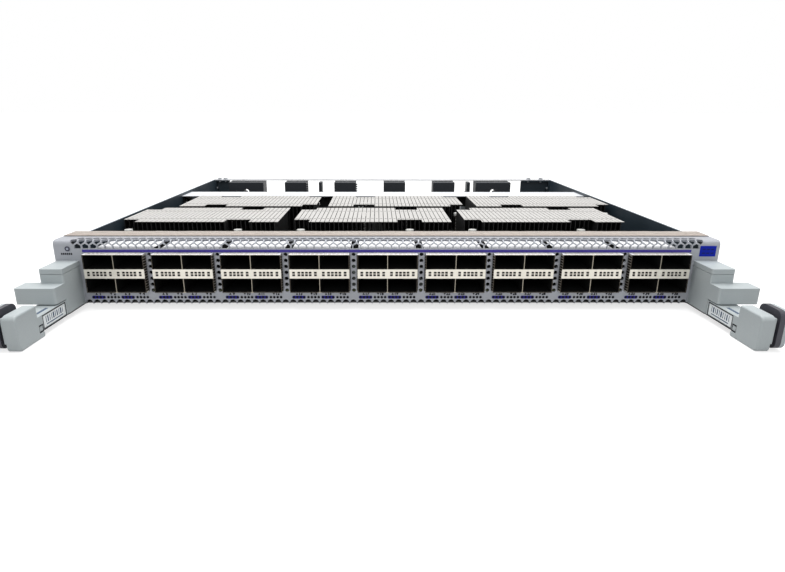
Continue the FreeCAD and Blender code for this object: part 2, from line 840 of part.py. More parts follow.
def capacitor(x, y):
    can = rod(capacitor_radius, (x, y, board_top), Z_DIR, capacitor_height)
    return rounded(can, capacitor_round,
                   lambda e: centre(e).z > board_top + capacitor_height - 0.01)


def control_chip(x, y):
    half = chip_size / 2
    return block((x - half, x + half), (y - half, y + half), (board_top, board_top + chip_height))


# ---- ejectors ----------------------------------------------------------------------------
def ejector_housing():
    top = housing_top - cover_thickness - cover_seam
    front = -housing_depth
    outer = ejector_inner + housing_width
    body = block((ejector_inner, outer), (front, 0), (housing_foot, top))
    body = rounded(body, housing_round,
                   lambda e: straight_along(e, Z_DIR) and centre(e).y < front + 0.01)
    shelf_outer = ejector_inner + shelf_width
    shelf = block((ejector_inner, shelf_outer), (front - shelf_depth, front + housing_round + 1),
                  (shelf_bottom, shelf_bottom + shelf_height))
    shelf = rounded(shelf, shelf_round,
                    lambda e: straight_along(e, Z_DIR) and centre(e).y < front - 1
                    and centre(e).x < ejector_inner + 0.01)
    shelf = rounded(shelf, housing_round,
                    lambda e: straight_along(e, Z_DIR) and centre(e).x > shelf_outer - 0.01)
    body = body.fuse(shelf).removeSplitter()
    pocket = block((ejector_inner + housing_wall, shelf_outer + 1),
                   (front - shelf_depth - 1, -housing_back),
                   (housing_foot + housing_floor, shelf_bottom))
    body = body.cut(pocket)
    bore = rod(pin_radius + hole_clearance, (pivot_x, pivot_y, housing_foot - 1), Z_DIR,
               shelf_bottom + pin_set_in - housing_foot + 1)
    body = body.cut(bore)
    for z in housing_screw_z:
        body = body.cut(rod(screw_radius + hole_clearance,
                            (housing_screw_x, -housing_screw_length, z), Y_DIR,
                            housing_screw_length + 1))
    return body


def housing_cover():
    front = -housing_depth
    lid = block((ejector_inner, ejector_inner + housing_width), (front, 0),
                (housing_top - cover_thickness, housing_top))
    lid = rounded(lid, housing_round,
                  lambda e: straight_along(e, Z_DIR) and centre(e).y < front + 0.01)
    key = block((ejector_inner + cover_key_inset, ejector_inner + housing_width - cover_key_inset),
                (front + cover_key_inset, -cover_key_inset),
                (housing_top - cover_thickness - cover_seam, housing_top - cover_thickness))
    return lid.fuse(key).removeSplitter()


def pivot_pin():
    return rod(pin_radius, (pivot_x, pivot_y, housing_foot), Z_DIR,
               shelf_bottom + pin_set_in - housing_foot)


def grip_outline():
    """Side view of the grip, as Y and Z pairs, from the rear foot round by the top."""
    return [(grip_foot - grip_rear, grip_bottom),
            (grip_foot - grip_rear, 0),
            (-grip_rear, 0),
            (-grip_rear, grip_top),
            (-grip_front, grip_top),
            (-grip_front, grip_bottom)]


def grip_blank(inner, outer):
    points = [(inner, y, z) for y, z in grip_outline()]
    blank = prism(points, Vector(0, 0, 0), X_DIR * (outer - inner))
    return rounded(blank, grip_nose_radius,
                   lambda e: straight_along(e, X_DIR) and centre(e).y < -grip_front + 0.01)


def grip():
    inner = ejector_inner - grip_proud
    blank = grip_blank(inner, tongue_inner)
    blank = rounded(blank, grip_round,
                    lambda e: centre(e).x < inner + 0.01 and centre(e).y < -grip_rear - 1)
    for z in stem_z:
        blank = blank.cut(rod(spring_bore_radius, (tongue_inner - spring_bore_depth, stem_y, z),
                              X_DIR, spring_bore_depth + 1))
    return blank


def lever_arm():
    """The arm: an eye on the pin, a root in the housing, a bar and the grip's tongue."""
    front = -lever_end
    root_bottom = housing_foot + housing_floor + lever_gap
    bar_outer = ejector_inner + lever_width
    swing = math.hypot(housing_width - pivot_inset, housing_depth + pivot_y) + lever_swing_gap
    bar = block((ejector_inner, bar_outer), (front, pivot_y), (lever_bottom, lever_top))
    bar = bar.cut(rod(swing, (pivot_x, pivot_y, lever_bottom - 1), Z_DIR,
                      lever_top - lever_bottom + 2))
    bar = bar.cut(block((ejector_inner - 1, tongue_inner), (front - 1, -grip_rear),
                        (lever_bottom - 1, lever_top + 1)))
    root = block((pivot_x - lever_root_width / 2, pivot_x + lever_root_width / 2),
                 (pivot_y - swing - 2, pivot_y), (root_bottom, lever_top))
    eye = rod(pivot_inset - housing_wall - lever_gap, (pivot_x, pivot_y, root_bottom), Z_DIR,
              lever_top - root_bottom)
    cam = block((pivot_x, pivot_x + cam_reach - cam_width / 2),
                (pivot_y, pivot_y + cam_width), (root_bottom, lever_top))
    nose = rod(cam_width / 2, (pivot_x + cam_reach - cam_width / 2, pivot_y + cam_width / 2,
                               root_bottom), Z_DIR, lever_top - root_bottom)
    tongue = block((tongue_inner, tongue_outer), (front - tongue_length, front + 1),
                   (tongue_bottom, tongue_top))
    arm = bar.multiFuse([root, eye, cam, nose, tongue]).removeSplitter()
    arm = arm.cut(rod(pin_radius + pin_fit, (pivot_x, pivot_y, lever_bottom), Z_DIR,
                      lever_top - lever_bottom + 1))
    for z in stem_z:
        arm = arm.cut(rod(stem_radius + stem_fit, (tongue_inner - 1, stem_y, z), X_DIR,
                          tongue_thickness + 2))
    arm = arm.cut(arm_label_box(label_recess, label_edge))
    return arm.cut(catch_slots())


def arm_label_box(depth, margin):
    """The label's box on the arm's inner face, grown by a margin round its edge."""
    rear = -arm_label_start
    middle = (lever_bottom + lever_top) / 2
    return block((ejector_inner + label_recess - depth, ejector_inner + label_recess),
                 (rear + margin, rear - arm_label_length - margin),
                 (middle - arm_label_height / 2 - margin, middle + arm_label_height / 2 + margin))


def arm_label():
    return arm_label_box(label_sheet, 0)


def catch_slots():
    """The two short slots of the latch, in the arm's inner face behind the grip."""
    return Part.makeCompound([block((ejector_inner - 1, ejector_inner + label_recess),
                                    (-catch_start, -catch_start - catch_length),
                                    (z - catch_slot / 2, z + catch_slot / 2))
                              for z in catch_heights])


def trigger_plate(inner, outer):
    plate = block((inner, outer), (-trigger_front, -trigger_front + trigger_length),
                  (trigger_bottom, trigger_bottom + trigger_height))
    return rounded(plate, trigger_round, lambda e: straight_along(e, X_DIR))


def trigger():
    plate = trigger_plate(trigger_inner, trigger_outer)
    for z in stem_z:
        plate = plate.fuse(rod(stem_radius, (trigger_inner - stem_length, stem_y, z), X_DIR,
                               stem_length + trigger_thickness / 2))
    return plate.removeSplitter()


def trigger_pad():
    pad = trigger_plate(trigger_outer, trigger_outer + pad_thickness)
    return rounded(pad, pad_round, lambda e: centre(e).x > trigger_outer + pad_thickness - 0.01)


def trigger_springs():
    """Two short coils, as the closed sleeves that their turns fill, ahead of the stems."""
    start = trigger_inner - stem_length
    end = tongue_inner - spring_bore_depth + trigger_travel + trigger_end_gap
    sleeves = []
    for z in stem_z:
        sleeve = rod(trigger_spring_radius, (end, stem_y, z), X_DIR, start - end)
        sleeves.append(sleeve.cut(rod(trigger_spring_radius - trigger_spring_wall,
                                      (end - 1, stem_y, z), X_DIR, start - end + 2)))
    return sleeves


# ---- write every piece -------------------------------------------------------------------
write("tray", tray())
write("faceplate", faceplate())
write("emi_gasket", emi_gasket())
write("main_board", main_board())
write("board_standoffs", *[standoff(x, y) for x, y in board_screw_places()])
write("board_screws", *[screw((x, y, board_top), Z_DIR * -1, board_thickness + board_screw_grip)
                        for x, y in board_screw_places()])
for number, cage_x in enumerate(cage_places, 1):
    write("port_cage_%d" % number, port_cage(cage_x))
write("port_connectors", *[port_connector(left) for x in cage_places
                           for left in column_left_edges(x)])
write("cage_collars", *[cage_collar(x) for x in cage_places])
write("light_pipes", *light_pipes())
write("status_lens", status_lens())
write("ear_label", ear_label())
for sink_name, sink_left, sink_front, is_turned in sink_places():
    write(sink_name, heatsink(sink_left, sink_front, is_turned))
write("heatsink_screws", *[spring_screw(x, y) for x, y in sink_screw_places()])
write("heatsink_springs", *[screw_spring(x, y) for x, y in sink_screw_places()])
write("switch_chips", *[chip_package(*place[1:]) for place in sink_places()])
write("air_baffle", air_baffle())
write("rear_rail", rear_rail())
write("right_rear_bracket", rear_bracket(right_bracket_width))
write("left_rear_bracket", mirrored(rear_bracket(left_bracket_width)))
write("chassis_screws", *chassis_screws())
write("backplane_connectors", *[backplane_connector(x) for x in backplane_places])
write("guide_posts", *[guide_post(backplane_places[i] + backplane_pitch / 2)
                       for i in guide_gaps])
write("power_modules", *[power_module(x) for x in power_places])
write("power_inductors", *[inductor(x) for x in spread(inductor_count, inductor_pitch, 0)])
write("bulk_capacitors", *[capacitor(capacitor_x + i * capacitor_pitch, capacitor_y)
                           for i in range(capacitor_count)])
write("control_chips", *[control_chip(chip_x + i * chip_pitch, chip_y)
                         for i in range(chip_count)])
housing_screws = [screw((side * housing_screw_x, panel_sheet, z), Y_DIR * -1,
                        housing_screw_length)
                  for side in (-1, 1) for z in housing_screw_z]
write("housing_screws", *housing_screws)
ejector_pieces = {
    "ejector_housing": ejector_housing(),
    "housing_cover": housing_cover(),
    "pivot_pin": pivot_pin(),
    "lever_arm": lever_arm(),
    "lever_grip": grip(),
    "arm_label": arm_label(),
    "trigger": trigger(),
    "trigger_pad": trigger_pad(),
}
for piece_name, piece in ejector_pieces.items():
    write("right_" + piece_name, piece)
    write("left_" + piece_name, mirrored(piece))
springs = trigger_springs()
write("right_trigger_springs", *springs)
write("left_trigger_springs", *[mirrored(coil) for coil in springs])
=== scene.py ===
import json
import math

import bpy
import numpy as np
from mathutils import Matrix, Vector


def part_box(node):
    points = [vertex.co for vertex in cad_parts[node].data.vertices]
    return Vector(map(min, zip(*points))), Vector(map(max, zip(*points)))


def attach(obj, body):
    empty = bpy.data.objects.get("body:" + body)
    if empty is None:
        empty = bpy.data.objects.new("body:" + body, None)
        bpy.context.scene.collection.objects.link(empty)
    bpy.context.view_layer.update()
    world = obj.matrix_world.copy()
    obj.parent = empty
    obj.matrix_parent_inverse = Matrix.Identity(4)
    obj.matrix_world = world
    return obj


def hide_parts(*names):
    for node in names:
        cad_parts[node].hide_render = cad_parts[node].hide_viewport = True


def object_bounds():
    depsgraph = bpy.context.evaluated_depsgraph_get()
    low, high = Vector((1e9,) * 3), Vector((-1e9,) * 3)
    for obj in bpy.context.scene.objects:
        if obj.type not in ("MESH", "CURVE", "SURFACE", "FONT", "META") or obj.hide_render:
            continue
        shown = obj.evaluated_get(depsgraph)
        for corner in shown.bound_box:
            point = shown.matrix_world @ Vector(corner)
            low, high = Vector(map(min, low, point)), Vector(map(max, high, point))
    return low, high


# The finish of a one-rack-unit line card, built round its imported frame.  Metres, in the part's
# own frame: +X right, +Y back, +Z up, with the origin in the middle of the tray's underside.
# MM turns a size in millimetres into metres; inside materials, places are in millimetres.

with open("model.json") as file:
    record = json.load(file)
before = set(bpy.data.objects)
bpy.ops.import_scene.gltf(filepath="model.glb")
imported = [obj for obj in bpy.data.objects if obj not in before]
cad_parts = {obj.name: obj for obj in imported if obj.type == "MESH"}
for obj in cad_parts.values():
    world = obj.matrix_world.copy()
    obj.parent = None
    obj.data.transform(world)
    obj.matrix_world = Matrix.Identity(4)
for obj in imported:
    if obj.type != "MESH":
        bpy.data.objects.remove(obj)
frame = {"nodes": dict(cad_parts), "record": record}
cad_low, cad_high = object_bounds()
nodes = frame["nodes"]
MM = 0.001
socket_rise = 9.85 * MM       # from a cage's floor or roof to its vented band

# ---- places taken from the frame ---------------------------------------------------------
panel_low, panel_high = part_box("faceplate")
panel_front = panel_low.y
cage_boxes = [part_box("port_cage_%d" % n) for n in range(1, 10)]
cage_centres = [(low.x + high.x) / 2 for low, high in cage_boxes]
cage_low, cage_high = cage_boxes[0]
cage_pitch = cage_centres[1] - cage_centres[0]
cage_band = (cage_low.z + socket_rise, cage_high.z - socket_rise)
sink_boxes = {row: [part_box("heatsink_%s_%s" % (row, place))
                    for place in ("left", "middle", "right")] for row in ("front", "rear")}
gasket_low, gasket_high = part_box("emi_gasket")
board_low, board_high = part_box("main_board")

# ---- sizes of the added pieces -----------------------------------------------------------
ink = 0.03 * MM               # thickness of anything printed
light_z = 4.45 * MM           # middle of the row of port lights
light_pitch = 2.3 * MM
group_pitch = 9.8 * MM
mark_z = 6.85 * MM            # triangles and port numbers
number_height = 1.9 * MM
number_weight = 0.17 * MM     # added to each side of a stroke
side_finger = (1.75 * MM, 1.15 * MM)  # pitch and width of the leaves beside a cage
top_finger = (2.8 * MM, 1.9 * MM)     # and of those above and below it
finger_sheet = 0.1 * MM
finger_bow = 0.5 * MM
gasket_corner = 5.5 * MM      # cut off each rear corner of the gasket
fin_pitch = 3.6 * MM
fin_first = 1.25 * MM         # from the heatsink's side to its first fin
corner_screw = 7.0 * MM       # spring screws, from the side with the corner notch
inner_screw = 94.0 * MM
screw_edge = 3.0 * MM         # and from the front or rear edge
fin_bottom = 16.0 * MM
screw_head_bottom = 32.4 * MM
trigger_spring_half_spacing = 4.5 * MM
lever_top = 9.8 * MM
lock_rows = (14.0 * MM, 50.0 * MM)    # fin locks, back from the heatsink's front edge
window_radius = 0.92 * MM     # of a port light
arrow_shift = -1.3 * MM       # triangle and number, either side of their group's middle
number_shift = 1.1 * MM
mark_size = (0.95 * MM, 1.4 * MM)     # a bar under the status light
mark_drop = 3.5 * MM
top_mark_inset = 4.1 * MM     # bars on the lever's top, from the ejector's inner face
outline_margin = 0.8 * MM     # shadow line outside the label's edge
latch_size = (4.6 * MM, 4.7 * MM)
latch_rise = 2.2 * MM         # latch's middle above the lever's underside
latch_gap = 3.6 * MM          # and ahead of the label
contact_count = 19
contact_pitch = 0.75 * MM
contact_back = 1.0 * MM       # from the connector's front face
socket_offset = 9.8 * MM      # socket's middle from its cage's middle
slot_floors = (13.325 * MM, 29.125 * MM)
comb_places = (-95.6 * MM, -33.6 * MM)
part_lines = (55.5, 72.5, 276.5, 281.0, 330.0, 337.5)  # Y of the rows, in mm from the panel
part_reach = 196.0
part_pitch = 4.0
standoff_columns = (-200, -68, 0, 68, 200)
standoff_room = 5.0

# heights in mm where a colour changes
violet_line = (35.5, 37.5)
foot_shadow_height = 0.45             # painted contact shadow below this, as on the gasket's lowest strip
wall_edge_highlight = (41.85, 43.0)     # painted highlight on the top edges of the tray's walls
floor_shade_strip = (8.0, 6.0)      # painted shade, black, on the tray's floor: depth behind the panel, and height
board_edge = (6.55, 8.95)
fin_tops = (41.1, 43.0)
# painted contact shadow below this on the ejector housing and lever
ejector_shadow_height = 0.8


# ---- shapes as arrays --------------------------------------------------------------------
# A shape is a pair: an array of points, and a list of face arrays, one per face size.
def loft(rings, closed=False):
    """Skin through a stack of rings, each point joined to the same point of the next ring.

    A ring runs anticlockwise about the direction of travel.  Open stacks get end caps."""
    rings = np.asarray(rings, float)
    count, around = rings.shape[:2]
    index = np.arange(count * around).reshape(count, around)
    near = index if closed else index[:-1]
    far = np.roll(index, -1, 0) if closed else index[1:]
    sides = np.stack([near, np.roll(near, -1, 1), np.roll(far, -1, 1), far], -1).reshape(-1, 4)
    faces = [sides]
    if not closed:
        faces.append(np.stack([index[0, ::-1], index[-1]]))
    return rings.reshape(-1, 3), faces


def copies(shape, places, turns=None):
    """The shape set down once at each place: point = turn times point, plus place."""
    points, faces = shape
    places = np.asarray(places, float).reshape(-1, 3)
    count = len(places)
    if turns is None:
        spread = np.broadcast_to(points, (count,) + points.shape)
    else:
        spread = np.einsum("nij,vj->nvi", np.asarray(turns, float), points)
    shift = len(points) * np.arange(count)[:, None, None]
    return ((spread + places[:, None]).reshape(-1, 3),
            [(f[None] + shift).reshape(-1, f.shape[1]) for f in faces])


def together(shapes):
    """Several shapes as one: their points in a row, and their faces counted on."""
    points, faces, start = [], [], 0
    for p, group in shapes:
        points.append(p)
        faces += [f + start for f in group]
        start += len(p)
    return np.concatenate(points), faces


def slab(low, high):
    """A box: the rectangle from low to high in X and Y, lofted from low z to high z."""
    x0, y0, z0 = low
    x1, y1, z1 = high
    ring = [(x0, y0), (x1, y0), (x1, y1), (x0, y1)]
    return loft([[(x, y, z) for x, y in ring] for z in (z0, z1)])


def rounded_outline(width, height, radius, steps=4):
    """A rectangle with quarter-circle corners: corner centre plus radius times cos and sin."""
    corners = [(1, 1, 0), (-1, 1, 90), (-1, -1, 180), (1, -1, 270)]
    angles = np.radians(np.linspace(0, 90, steps))
    points = []
    for sx, sy, start in corners:
        turn = angles + math.radians(start)
        points.append(np.stack([sx * (width / 2 - radius) + radius * np.cos(turn),
                                sy * (height / 2 - radius) + radius * np.sin(turn)], -1))
    return np.concatenate(points)


def circle_outline(radius, sides):
    """Points at equal angles: radius times cos and sin."""
    angle = np.arange(sides) * 2 * math.pi / sides
    return np.stack([radius * np.cos(angle), radius * np.sin(angle)], -1)


def stamp(outline, depth):
    """An outline in X and Z, seen from the front, carried forwards from y = 0 to -depth."""
    x, z = np.asarray(outline, float).T
    return loft([np.stack([x, np.full_like(x, y), z], -1) for y in (0.0, -depth)])


def coil(radius, wire, length, turns, sides=6, steps=14):
    """A compression spring: angle runs on evenly, and height slows at the closed end turns."""
    angle = np.linspace(0, 2 * math.pi * turns, int(turns * steps) + 1)
    last = angle[-1]
    height = np.interp(angle, [0, 2 * math.pi, last - 2 * math.pi, last],
                       [wire, 3 * wire, length - 3 * wire, length - wire])
    out = np.stack([np.cos(angle), np.sin(angle), 0 * angle], -1)
    middle = radius * out + np.stack([0 * angle, 0 * angle, height], -1)
    around = np.arange(sides) * 2 * math.pi / sides
    up = np.array([0, 0, 1.0])
    rings = (middle[:, None] + wire * (np.cos(around)[None, :, None] * up
                                       + np.sin(around)[None, :, None] * out[:, None]))
    return loft(rings)


def piece(name, shape, material, body, smooth=None):
    """A mesh object of the shape, with its material, riding on a body."""
    points, faces = shape
    mesh = bpy.data.meshes.new(name)
    mesh.from_pydata(points.tolist(), [], [f for group in faces for f in group.tolist()])
    mesh.materials.append(material)
    if smooth is not None:
        mesh.shade_smooth()
        mesh.set_sharp_from_angle(angle=math.radians(smooth))
    made = bpy.data.objects.new(name, mesh)
    bpy.context.scene.collection.objects.link(made)
    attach(made, body)
    return made


# ---- material building -------------------------------------------------------------------
def linear(red, green, blue):
    """A display colour, 0 to 255, as the linear colour that a shader takes."""
    share = np.array([red, green, blue]) / 255
    value = np.where(share <= 0.04045, share / 12.92, ((share + 0.055) / 1.055) ** 2.4)
    return (*value.tolist(), 1.0)


class Graph:
    """Adds nodes to one tree; a value is a number, a colour, a vector or another's output."""

    def __init__(self, tree):
        self.tree = tree

    def add(self, kind, values=None, **settings):
        node = self.tree.nodes.new(kind)
        for key, value in settings.items():
            setattr(node, key, value)
        for key, value in (values or {}).items():
            self.feed(node.inputs[key], value)
        return node

    def feed(self, socket, value):
        if isinstance(value, bpy.types.NodeSocket):
            self.tree.links.new(value, socket)
        else:
            socket.default_value = value

    def math(self, operation, *values, clamp=False):
        node = self.add("ShaderNodeMath", operation=operation, use_clamp=clamp)
        for socket, value in zip(node.inputs, values):
            self.feed(socket, value)
        return node.outputs[0]

    def mix(self, share, first, second):
        node = self.add("ShaderNodeMix", data_type="RGBA")
        self.feed(node.inputs["Factor"], share)
        self.feed(node.inputs[6], first)
        self.feed(node.inputs[7], second)
        return node.outputs[2]

    def noise(self, place, scale, detail=2.0, roughness=0.5):
        values = {"Vector": place, "Scale": scale, "Detail": detail, "Roughness": roughness}
        return self.add("ShaderNodeTexNoise", values).outputs["Fac"]

    def span(self, value, low, high, to_low=0.0, to_high=1.0):
        """The value's place between low and high, carried to another span and held there."""
        node = self.add("ShaderNodeMapRange", {"Value": value, "From Min": low, "From Max": high,
                                               "To Min": to_low, "To Max": to_high})
        return node.outputs[0]

    def upward(self):
        """The Z of the surface's normal."""
        normal = self.add("ShaderNodeNewGeometry").outputs["Normal"]
        return self.add("ShaderNodeSeparateXYZ", {0: normal}).outputs[2]

    def seen(self):
        """One for a camera, glossy or transmission ray."""
        path = self.add("ShaderNodeLightPath").outputs
        return self.math("MAXIMUM", path["Is Camera Ray"],
                         self.math("MAXIMUM", path["Is Glossy Ray"],
                                   path["Is Transmission Ray"]))

    def millimetres(self):
        """Object coordinates in millimetres, and their X, Y and Z."""
        place = self.add("ShaderNodeTexCoord").outputs["Object"]
        scaled = self.add("ShaderNodeVectorMath", {0: place, 3: 1000.0}, operation="SCALE")
        parts = self.add("ShaderNodeSeparateXYZ", {0: scaled.outputs[0]}).outputs
        return scaled.outputs[0], parts[0], parts[1], parts[2]


def group(name, inputs, outputs, build):
    """A shader node group: sockets by name and kind, filled in by build(graph, inputs)."""
    tree = bpy.data.node_groups.new(name, "ShaderNodeTree")
    for title, kind, default in inputs:
        socket = tree.interface.new_socket(title, in_out="INPUT", socket_type=kind)
        if default is not None:
            socket.default_value = default
    for title, kind in outputs:
        tree.interface.new_socket(title, in_out="OUTPUT", socket_type=kind)
    graph = Graph(tree)
    enter = tree.nodes.new("NodeGroupInput").outputs
    leave = tree.nodes.new("NodeGroupOutput")
    made = build(graph, {title: enter[title] for title, _, _ in inputs})
    for title, _ in outputs:
        graph.feed(leave.inputs[title], made[title])
    return tree


FLOAT, COLOUR, VECTOR = "NodeSocketFloat", "NodeSocketColor", "NodeSocketVector"


def build_between(graph, given):
    """One where the value lies between low and high, nought elsewhere, with soft edges."""
    rise = graph.math("SUBTRACT", given["Value"], given["Low"])
    fall = graph.math("SUBTRACT", given["High"], given["Value"])
    inside = graph.math("MINIMUM", rise, fall)
    mask = graph.math("DIVIDE", inside, given["Edge"], clamp=True)
    return {"Mask": mask}


def build_coating(graph, given):
    """Powder paint and moulded skin: fine grains over a slow drift in tone."""
    grain = graph.noise(given["Place"], given["Grain"], 2.0)
    drift = graph.noise(given["Place"], 0.02, 3.0)
    tone = graph.math("ADD", graph.span(grain, 0.3, 0.7, -0.5, 0.5),
                      graph.span(drift, 0.3, 0.7, -0.5, 0.5))
    share = graph.math("MULTIPLY_ADD", tone, given["Unevenness"], 0.5)
    return {"Colour": graph.mix(share, given["Darker"], given["Lighter"]),
            "Height": grain, "Drift": drift}


def build_rolled(graph, given):
    """Rolled or plated sheet: fine lines along X, blotched by a slow noise."""
    drawn = graph.add("ShaderNodeVectorMath", {0: given["Place"], 1: given["Stretch"]},
                      operation="MULTIPLY").outputs[0]
    lines = graph.noise(drawn, 1.0, 3.0, 0.6)
    blotch = graph.noise(given["Place"], 0.06, 2.0)
    share = graph.math("MULTIPLY", lines, graph.span(blotch, 0.3, 0.7, 0.6, 1.2), clamp=True)
    return {"Colour": graph.mix(share, given["Darker"], given["Lighter"]),
            "Height": lines, "Blotch": blotch}


def build_dust(graph, given):
    """Light dust on faces that look up: the normal's Z, broken up by noise."""
    patch = graph.noise(given["Place"], 0.35, 4.0, 0.6)
    mask = graph.math("MULTIPLY", graph.span(graph.upward(), 0.5, 1.0),
                      graph.span(patch, 0.45, 0.75))
    share = graph.math("MULTIPLY", mask, given["Amount"])
    return {"Colour": graph.mix(share, given["Colour"], (0.6, 0.59, 0.57, 1.0)), "Mask": mask}


def build_weave(graph, given):
    """Plain weave: over-and-under ridges from two sines, half a thread out of step."""
    parts = graph.add("ShaderNodeSeparateXYZ", {0: given["Place"]}).outputs
    rate = graph.math("DIVIDE", 2 * math.pi, given["Thread"])
    across = graph.math("SINE", graph.math("MULTIPLY", parts[0], rate))
    sideways = graph.math("ADD", parts[1], parts[2])
    along = graph.math("SINE", graph.math("MULTIPLY", sideways, rate))
    ridge = graph.math("MULTIPLY", across, along)
    return {"Height": graph.span(ridge, -1.0, 1.0),
            "Fibre": graph.noise(given["Place"], 3.0, 3.0)}


PLACE = ("Place", VECTOR, None)
TONES = [("Darker", COLOUR, (0.3, 0.3, 0.3, 1)), ("Lighter", COLOUR, (0.5, 0.5, 0.5, 1))]
between = group("Between two places", [("Value", FLOAT, 0.0), ("Low", FLOAT, 0.0),
                                       ("High", FLOAT, 1.0), ("Edge", FLOAT, 0.05)],
                [("Mask", FLOAT)], build_between)
coating = group("Grained coating", [PLACE, ("Grain", FLOAT, 2.5), ("Unevenness", FLOAT, 0.5)]
                + TONES, [("Colour", COLOUR), ("Height", FLOAT), ("Drift", FLOAT)],
                build_coating)
rolled = group("Rolled sheet", [PLACE, ("Stretch", VECTOR, (0.15, 4.0, 4.0))] + TONES,
               [("Colour", COLOUR), ("Height", FLOAT), ("Blotch", FLOAT)], build_rolled)
dusted = group("Settled dust", [PLACE, ("Colour", COLOUR, (0.5, 0.5, 0.5, 1)),
                                ("Amount", FLOAT, 0.2)],
               [("Colour", COLOUR), ("Mask", FLOAT)], build_dust)
weave = group("Plain weave", [PLACE, ("Thread", FLOAT, 0.8)],
              [("Height", FLOAT), ("Fibre", FLOAT)], build_weave)


class Finish:
    """One material: a Principled shader, the place in millimetres, and the shared effects."""

    def __init__(self, name, rough=0.5, metal=0.0, **plain):
        self.material = bpy.data.materials.new(name)
        self.material.use_nodes = True
        tree = self.material.node_tree
        self.graph = Graph(tree)
        self.shader = tree.nodes["Principled BSDF"]
        self.shader.inputs["Roughness"].default_value = rough
        self.shader.inputs["Metallic"].default_value = metal
        for key, value in plain.items():
            self.shader.inputs[self.title(key)].default_value = value
        self.place, self.x, self.y, self.z = self.graph.millimetres()

    @staticmethod
    def title(key):
        return key.replace("_", " ").title().replace("Ior", "IOR")

    def use(self, tree, values):
        node = self.graph.add("ShaderNodeGroup", node_tree=tree)
        for key, value in values.items():
            self.graph.feed(node.inputs[key], value)
        return node.outputs

    def between(self, value, low, high, edge=0.05):
        return self.use(between, {"Value": value, "Low": low, "High": high,
                                  "Edge": edge})["Mask"]

    def coated(self, darker, lighter, grain=2.5, unevenness=0.4):
        return self.use(coating, {"Place": self.place, "Grain": grain, "Unevenness": unevenness,
                                  "Darker": darker, "Lighter": lighter})

    def rolled(self, darker, lighter, stretch=(0.15, 4.0, 4.0)):
        return self.use(rolled, {"Place": self.place, "Stretch": stretch, "Darker": darker,
                                 "Lighter": lighter})

    def dust(self, colour, amount):
        return self.use(dusted, {"Place": self.place, "Colour": colour,
                                 "Amount": amount})["Colour"]

    def set(self, **sockets):
        for key, value in sockets.items():
            self.graph.feed(self.shader.inputs[self.title(key)], value)

    def bump(self, height, depth, strength=0.5):
        """Bump of a height field, depth in millimetres."""
        node = self.graph.add("ShaderNodeBump", {"Height": height, "Strength": strength,
                                                 "Distance": depth * MM})
        self.graph.feed(self.shader.inputs["Normal"], node.outputs[0])
        return self.material


# ---- materials, one function each --------------------------------------------------------
def panel_paint():
    """Textured light grey paint, with a violet line under the hexagons and a painted contact
    shadow along its foot.
    """
    f = Finish("panel_paint", rough=0.42, metal=0.2)
    skin = f.coated(linear(160, 163, 170), linear(175, 178, 185), grain=3.0)
    reach = cage_high.x * -1000 if cage_high.x > 0 else -cage_low.x * 1000
    band = f.between(f.z, *violet_line, 0.06)
    ports = f.between(f.x, -reach - 1.6, reach + 1.6, 0.2)
    front = f.between(f.y, panel_front / MM - 0.5, panel_front / MM + 0.4, 0.1)
    line = f.graph.math("MULTIPLY", f.graph.math("MULTIPLY", band, ports), front)
    colour = f.graph.mix(line, skin["Colour"], linear(52, 40, 136))
    # painted contact shadow: the panel's lowest strip is dark
    foot = f.graph.math("LESS_THAN", f.z, foot_shadow_height)
    f.set(base_color=f.graph.mix(foot, f.dust(colour, 0.06), linear(28, 30, 34)))
    f.set(roughness=f.graph.span(skin["Height"], 0.3, 0.7, 0.36, 0.5))
    return f.bump(skin["Height"], 0.05, 0.35)


def tray_slate():
    """Satin slate coating; the walls' top edges carry a painted highlight, the floor's front
    strip is painted black as shade.
    """
    f = Finish("tray_slate", rough=0.45)
    skin = f.coated(linear(34, 46, 56), linear(46, 60, 70), grain=2.0)
    # painted highlight along the walls' top edges
    edge = f.between(f.z, *wall_edge_highlight, 0.1)
    colour = f.graph.mix(edge, skin["Colour"], linear(150, 160, 168))
    # painted shade: the tray's floor just behind the panel is black
    strip = f.graph.math("LESS_THAN", f.y, panel_front / MM + floor_shade_strip[0])
    low = f.graph.math("LESS_THAN", f.z, floor_shade_strip[1])
    colour = f.graph.mix(f.graph.math("MULTIPLY", strip, low), colour, linear(16, 18, 20))
    f.set(base_color=f.dust(colour, 0.12),
          roughness=f.graph.span(skin["Drift"], 0.3, 0.7, 0.38, 0.55))
    return f.bump(skin["Height"], 0.05, 0.3)


def gasket_cloth():
    """Woven cloth, warm beige with a metallic glint and a darker lapped join down its middle.
    Painted light makes its front and sides lighter than its top; a painted shadow darkens its
    lowest strip.
    """
    f = Finish("gasket_cloth", rough=0.6, metal=0.1, sheen_weight=0.3)
    cloth = f.use(weave, {"Place": f.place, "Thread": 0.7})
    share = f.graph.math("MULTIPLY", cloth["Height"], cloth["Fibre"])
    tone = f.graph.mix(f.graph.span(share, 0.1, 0.6), linear(166, 156, 147),
                       linear(181, 171, 162))
    middle = (gasket_low.y + gasket_high.y) / 2 / MM
    lap = f.between(f.y, middle - 0.55, middle + 0.55, 0.3)
    tone = f.graph.mix(f.graph.math("MULTIPLY", lap, 0.35), tone, linear(150, 138, 128))
    # painted light: faces that do not look up are lighter than the top
    tone = f.graph.mix(f.graph.span(f.graph.upward(), 0.3, 0.8), linear(244, 230, 218), tone)
    # painted shadow along the gasket's lowest strip
    foot = f.graph.math("LESS_THAN", f.z, gasket_low.z / MM + foot_shadow_height)
    f.set(base_color=f.graph.mix(foot, tone, linear(66, 58, 52)))
    return f.bump(cloth["Height"], 0.12, 0.6)


